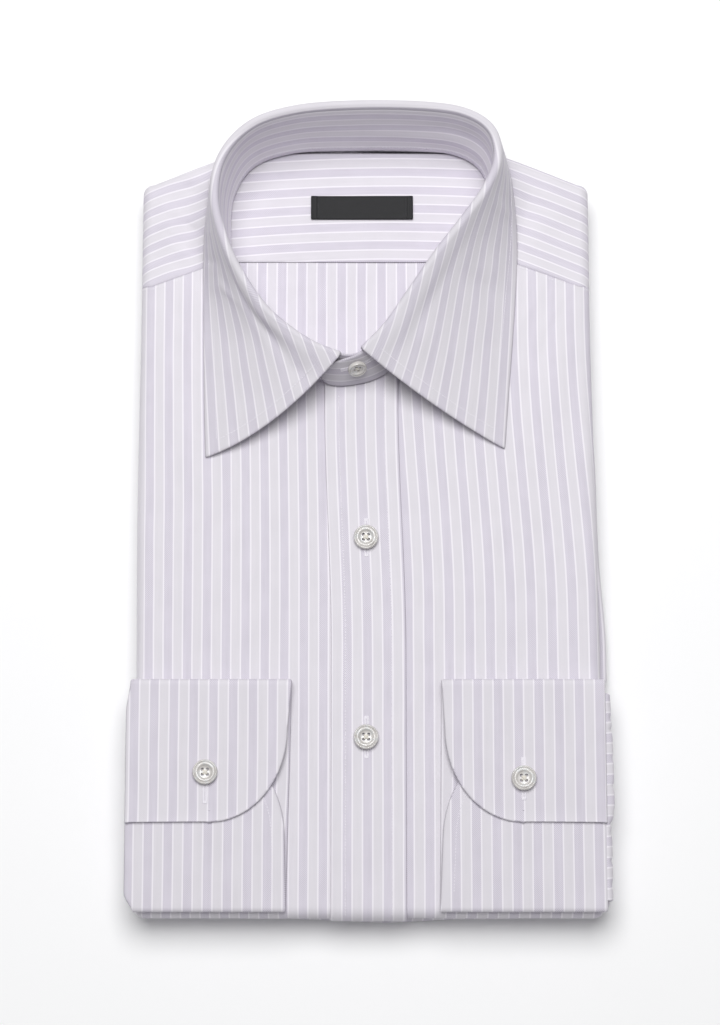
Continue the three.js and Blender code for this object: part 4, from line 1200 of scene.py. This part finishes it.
def stitch_row(name, on, line, facing, pitch=1.5, long=1.05, wide=0.3, finish=None):
    """Stitches at even steps along a line on the cloth."""
    length = np.concatenate([[0], np.cumsum(np.linalg.norm(np.diff(line, axis=0), axis=-1))])
    at = np.arange(pitch / 2, length[-1] - pitch / 2, pitch)

    def read(values, where):
        return np.stack([np.interp(where, length, values[:, k]) for k in range(3)], -1)

    up = unit(read(facing, at))
    ahead = read(line, at + 0.1) - read(line, at - 0.1)
    ahead = unit(ahead - up * (ahead * up).sum(-1, keepdims=True))
    return bars(name, on, read(line, at), ahead, up, long, wide, finish or cloth_thread)


rows = slice(6, -4)
for word, place in (("left", 0.185), ("right", 0.815)):
    j = round(place * (placket_face.shape[1] - 1))
    stitch_row(f"placket_stitches_{word}", "placket", placket_face[rows, j], placket_facing[rows, j], 1.4, 1.0, 0.45)
leaf_edge, leaf_up = leaf_face[-1, ::-1], leaf_facing[-1, ::-1]
leading = {"right": (leaf_face[16:, 0][::-1], leaf_facing[16:, 0][::-1]), "left": (leaf_face[16:, -1], leaf_facing[16:, -1])}
INSIDE = 5.5
line = moved_in(leaf_edge, leaf_up, INSIDE)
keep = clear_of(line, leading["right"][0], INSIDE) & clear_of(line, leading["left"][0], INSIDE)
stitch_row("leaf_stitches", "collar_leaf", line[keep], leaf_up[keep])
for word, (edge, up) in leading.items():
    line = moved_in(edge, up, INSIDE)
    keep = clear_of(line, leaf_edge, INSIDE)
    stitch_row(f"leaf_stitches_{word}", "collar_leaf", line[keep], up[keep])
for word, (_, face, facing) in cuffs.items():
    for end, part, last in (("lap", slice(150, None), -1), ("under", slice(90, 0, -1), 0)):
        edge = np.concatenate([face[part, 0], face[last, 1:-4]])
        up = np.concatenate([facing[part, 0], facing[last, 1:-4]])
        line = moved_in(edge, up, -ARMS[word]["side"] * (1 if end == "under" else -1) * INSIDE)
        stitch_row(f"cuff_stitches_{word}_{end}", f"cuff_{word}", line, up)
for word, j, side in (("right", 0, 1), ("left", -1, -1)):
    edge, up = yoke_face[2:-2, j], yoke_facing[2:-2, j]
    stitch_row(f"yoke_stitches_{word}", "yoke_outer", moved_in(edge, up, side * 1.6), up, 1.5, 1.0, 0.34)
stitch_row("stand_stitches", "collar_stand", stand_face[2, 24:-36], stand_facing[2, 24:-36], 1.6, 1.1, 0.34)
print(sum(len(made) for made in sewn_on.values()), "rows of stitches")


# %% Buttonholes and crossed threads
def buttonhole(name, on, middle, ahead, up, length):
    """Two rows of close bars across a slit, and three long bars at either end."""
    ahead, up, middle = unit(np.array(ahead, float)), unit(np.array(up, float)), np.array(middle, float)
    across = np.cross(up, ahead)
    at = np.arange(-length / 2, length / 2, 0.37)[:, None]
    side_bars = np.concatenate([middle + at * ahead + side * 0.66 * across for side in (-1, 1)])
    bars(name, on, side_bars, across, up, 1.1, 0.42, cloth_thread)
    ends = np.array([-1, -0.5, 0])[:, None] * 0.8
    end_bars = np.concatenate([middle + (ends - length / 2) * ahead, middle - (ends - length / 2) * ahead])
    bars(f"{name}_ends", on, end_bars, across, up, 2.4, 0.5, cloth_thread)


CLOTH_TOP = FOLD_Z + FOLD_RADIUS
placket_top, lap_top = CLOTH_TOP + GAP + WALL - 0.02, CUFF_LAP_Z + CUFF_WALL / 2 + 0.15
buttonhole("buttonhole_front_1", "placket", (0.2, -12.4, placket_top), (0, 1, 0), (0, 0, 1), 16.5)
buttonhole("buttonhole_front_2", "placket", (0.2, -108, placket_top), (0, 1, 0), (0, 0, 1), 18)
buttonhole("buttonhole_cuff_right", "cuff_right", (-75.6, -131, lap_top), (0, 1, 0), (0, 0, 1), 15)
buttonhole("buttonhole_cuff_left", "cuff_left", (74.0, -127.8, lap_top), (0, 1, 0), (0, 0, 1), 18)
band, band_up, band_out = ring_frame(STAND, seat_place + np.linspace(-0.72, 0.72, 34))
band_kept = band[:, 6] + (band[:, 7] - band[:, 6]) * 0.66
band_height = np.linalg.norm(band[:, :3] - band[:, 3:6], axis=-1) - STAND_DROP
on_band = band[:, 3:6] + band_up * (band_kept * band_height)[:, None]
on_band = on_band + band_out * (band[:, 8] + COLLAR_WALL / 2)[:, None]
both_sides = np.concatenate([on_band + 0.66 * band_up, on_band - 0.66 * band_up])
both_up, both_out = np.concatenate([band_up] * 2), np.concatenate([band_out] * 2)
bars("buttonhole_collar", "collar_stand", both_sides, both_up, both_out, 1.1, 0.42, cloth_thread)
for name, (radius, at, facing) in button_places.items():
    turn, size = frame_of(facing), radius / 5.9
    on = {"front": "placket", "collar": "collar_stand"}.get(name.split("_")[1], name.replace("button_", ""))
    corners = np.radians([45, 45, 135, 135])
    ahead = np.stack([np.cos(corners), np.sin(corners), 0 * corners], -1)
    beside = np.stack([-np.sin(corners), np.cos(corners), 0 * corners], -1) * np.array([[0.24], [-0.24]] * 2) * size
    lift = np.array([0, 0, 1.85 * size])
    middle = (beside + lift + np.array([[0, 0, 0]] * 2 + [[0, 0, 0.25]] * 2) * size) @ turn.T + np.array(at)
    bars(f"{name}_thread", on, middle, ahead @ turn.T, turn[:, 2], 2 * HOLE_SPREAD * size, 0.5 * size,
         cream_thread, dip=1.1 * size)
print("buttonholes and threads done")

# %% [markdown]
# ## The label
# A woven satin label lies on the inner yoke, sewn down at both ends. It is left plain: black satin
# with its fine cross threads, its two ends folded under and a row of stitches on either side.

# %% The label
satin = Finish("black_satin", Roughness=0.5, Sheen_Weight=0.08, Specular_IOR_Level=0.25)
place = satin.node("ShaderNodeUVMap", {"uv_map": "cloth"}).outputs[0]
parts = satin.node("ShaderNodeSeparateXYZ", {}, {"Vector": place})
rib = satin.maths("SINE", Varying(satin, parts.outputs["Y"]) * (2 * math.pi / 0.0004))
float_thread = satin.maths("SINE", Varying(satin, parts.outputs["X"]) * (2 * math.pi / 0.0006))
satin.colour(satin.blend(rib * 0.25 + 0.5 + satin.cloudiness(place, 500.0) * 0.4,
                         (0.004, 0.004, 0.005, 1), (0.011, 0.011, 0.013, 1)))
satin.bump(rib * 0.5 + float_thread * 0.25, 0.00004, 0.8)
x = np.linspace(-26.9 + 0.3, 23.1 - 0.3, 100)[None, :]
y = np.linspace(145.8 + 0.3, 157.8 - 0.3, 18)[:, None]
from_middle = np.abs(x + 1.9)
folded_end = 0.28 * soft_step(from_middle, 21.9, 22.4)
pressed = -0.12 * np.exp(-(((from_middle - 23.4) / 0.5) ** 2))
z = 22.55 + 0.1 * np.sin(x / 9) + folded_end + pressed + 0 * y
label, label_face, label_facing = cloth_wall(
    "label", np.stack([x + 0 * y, y + 0 * x, z], -1), x + 0 * y, y + 0 * x, 0.6, "label", satin,
    rests_on=["yoke_inner"],
)
for word, j in (("right", 6), ("left", -7)):
    stitch_row(f"label_stitches_{word}", "label", label_face[1:-1, j], label_facing[1:-1, j], 1.1, 0.8, 0.26,
               black_thread)

# %% How each piece of cloth lies
for name, sheet in sheets.items():
    sheet.pop("piece")
print(len(sheets), "sheets of cloth")

# %% [markdown]
# ## The table's finish
# The table is a pale matt board, almost white, so the shirt's soft shadow shows and little else.

# %% The table's finish
board = Finish("pale_board", Roughness=0.9)
grain = board.cloudiness(board.node("ShaderNodeTexCoord").outputs["Object"], 3.0)
board.colour(board.blend(grain + 0.5, (0.93, 0.93, 0.93, 1), (0.95, 0.95, 0.95, 1)))
paint(table_top, board)
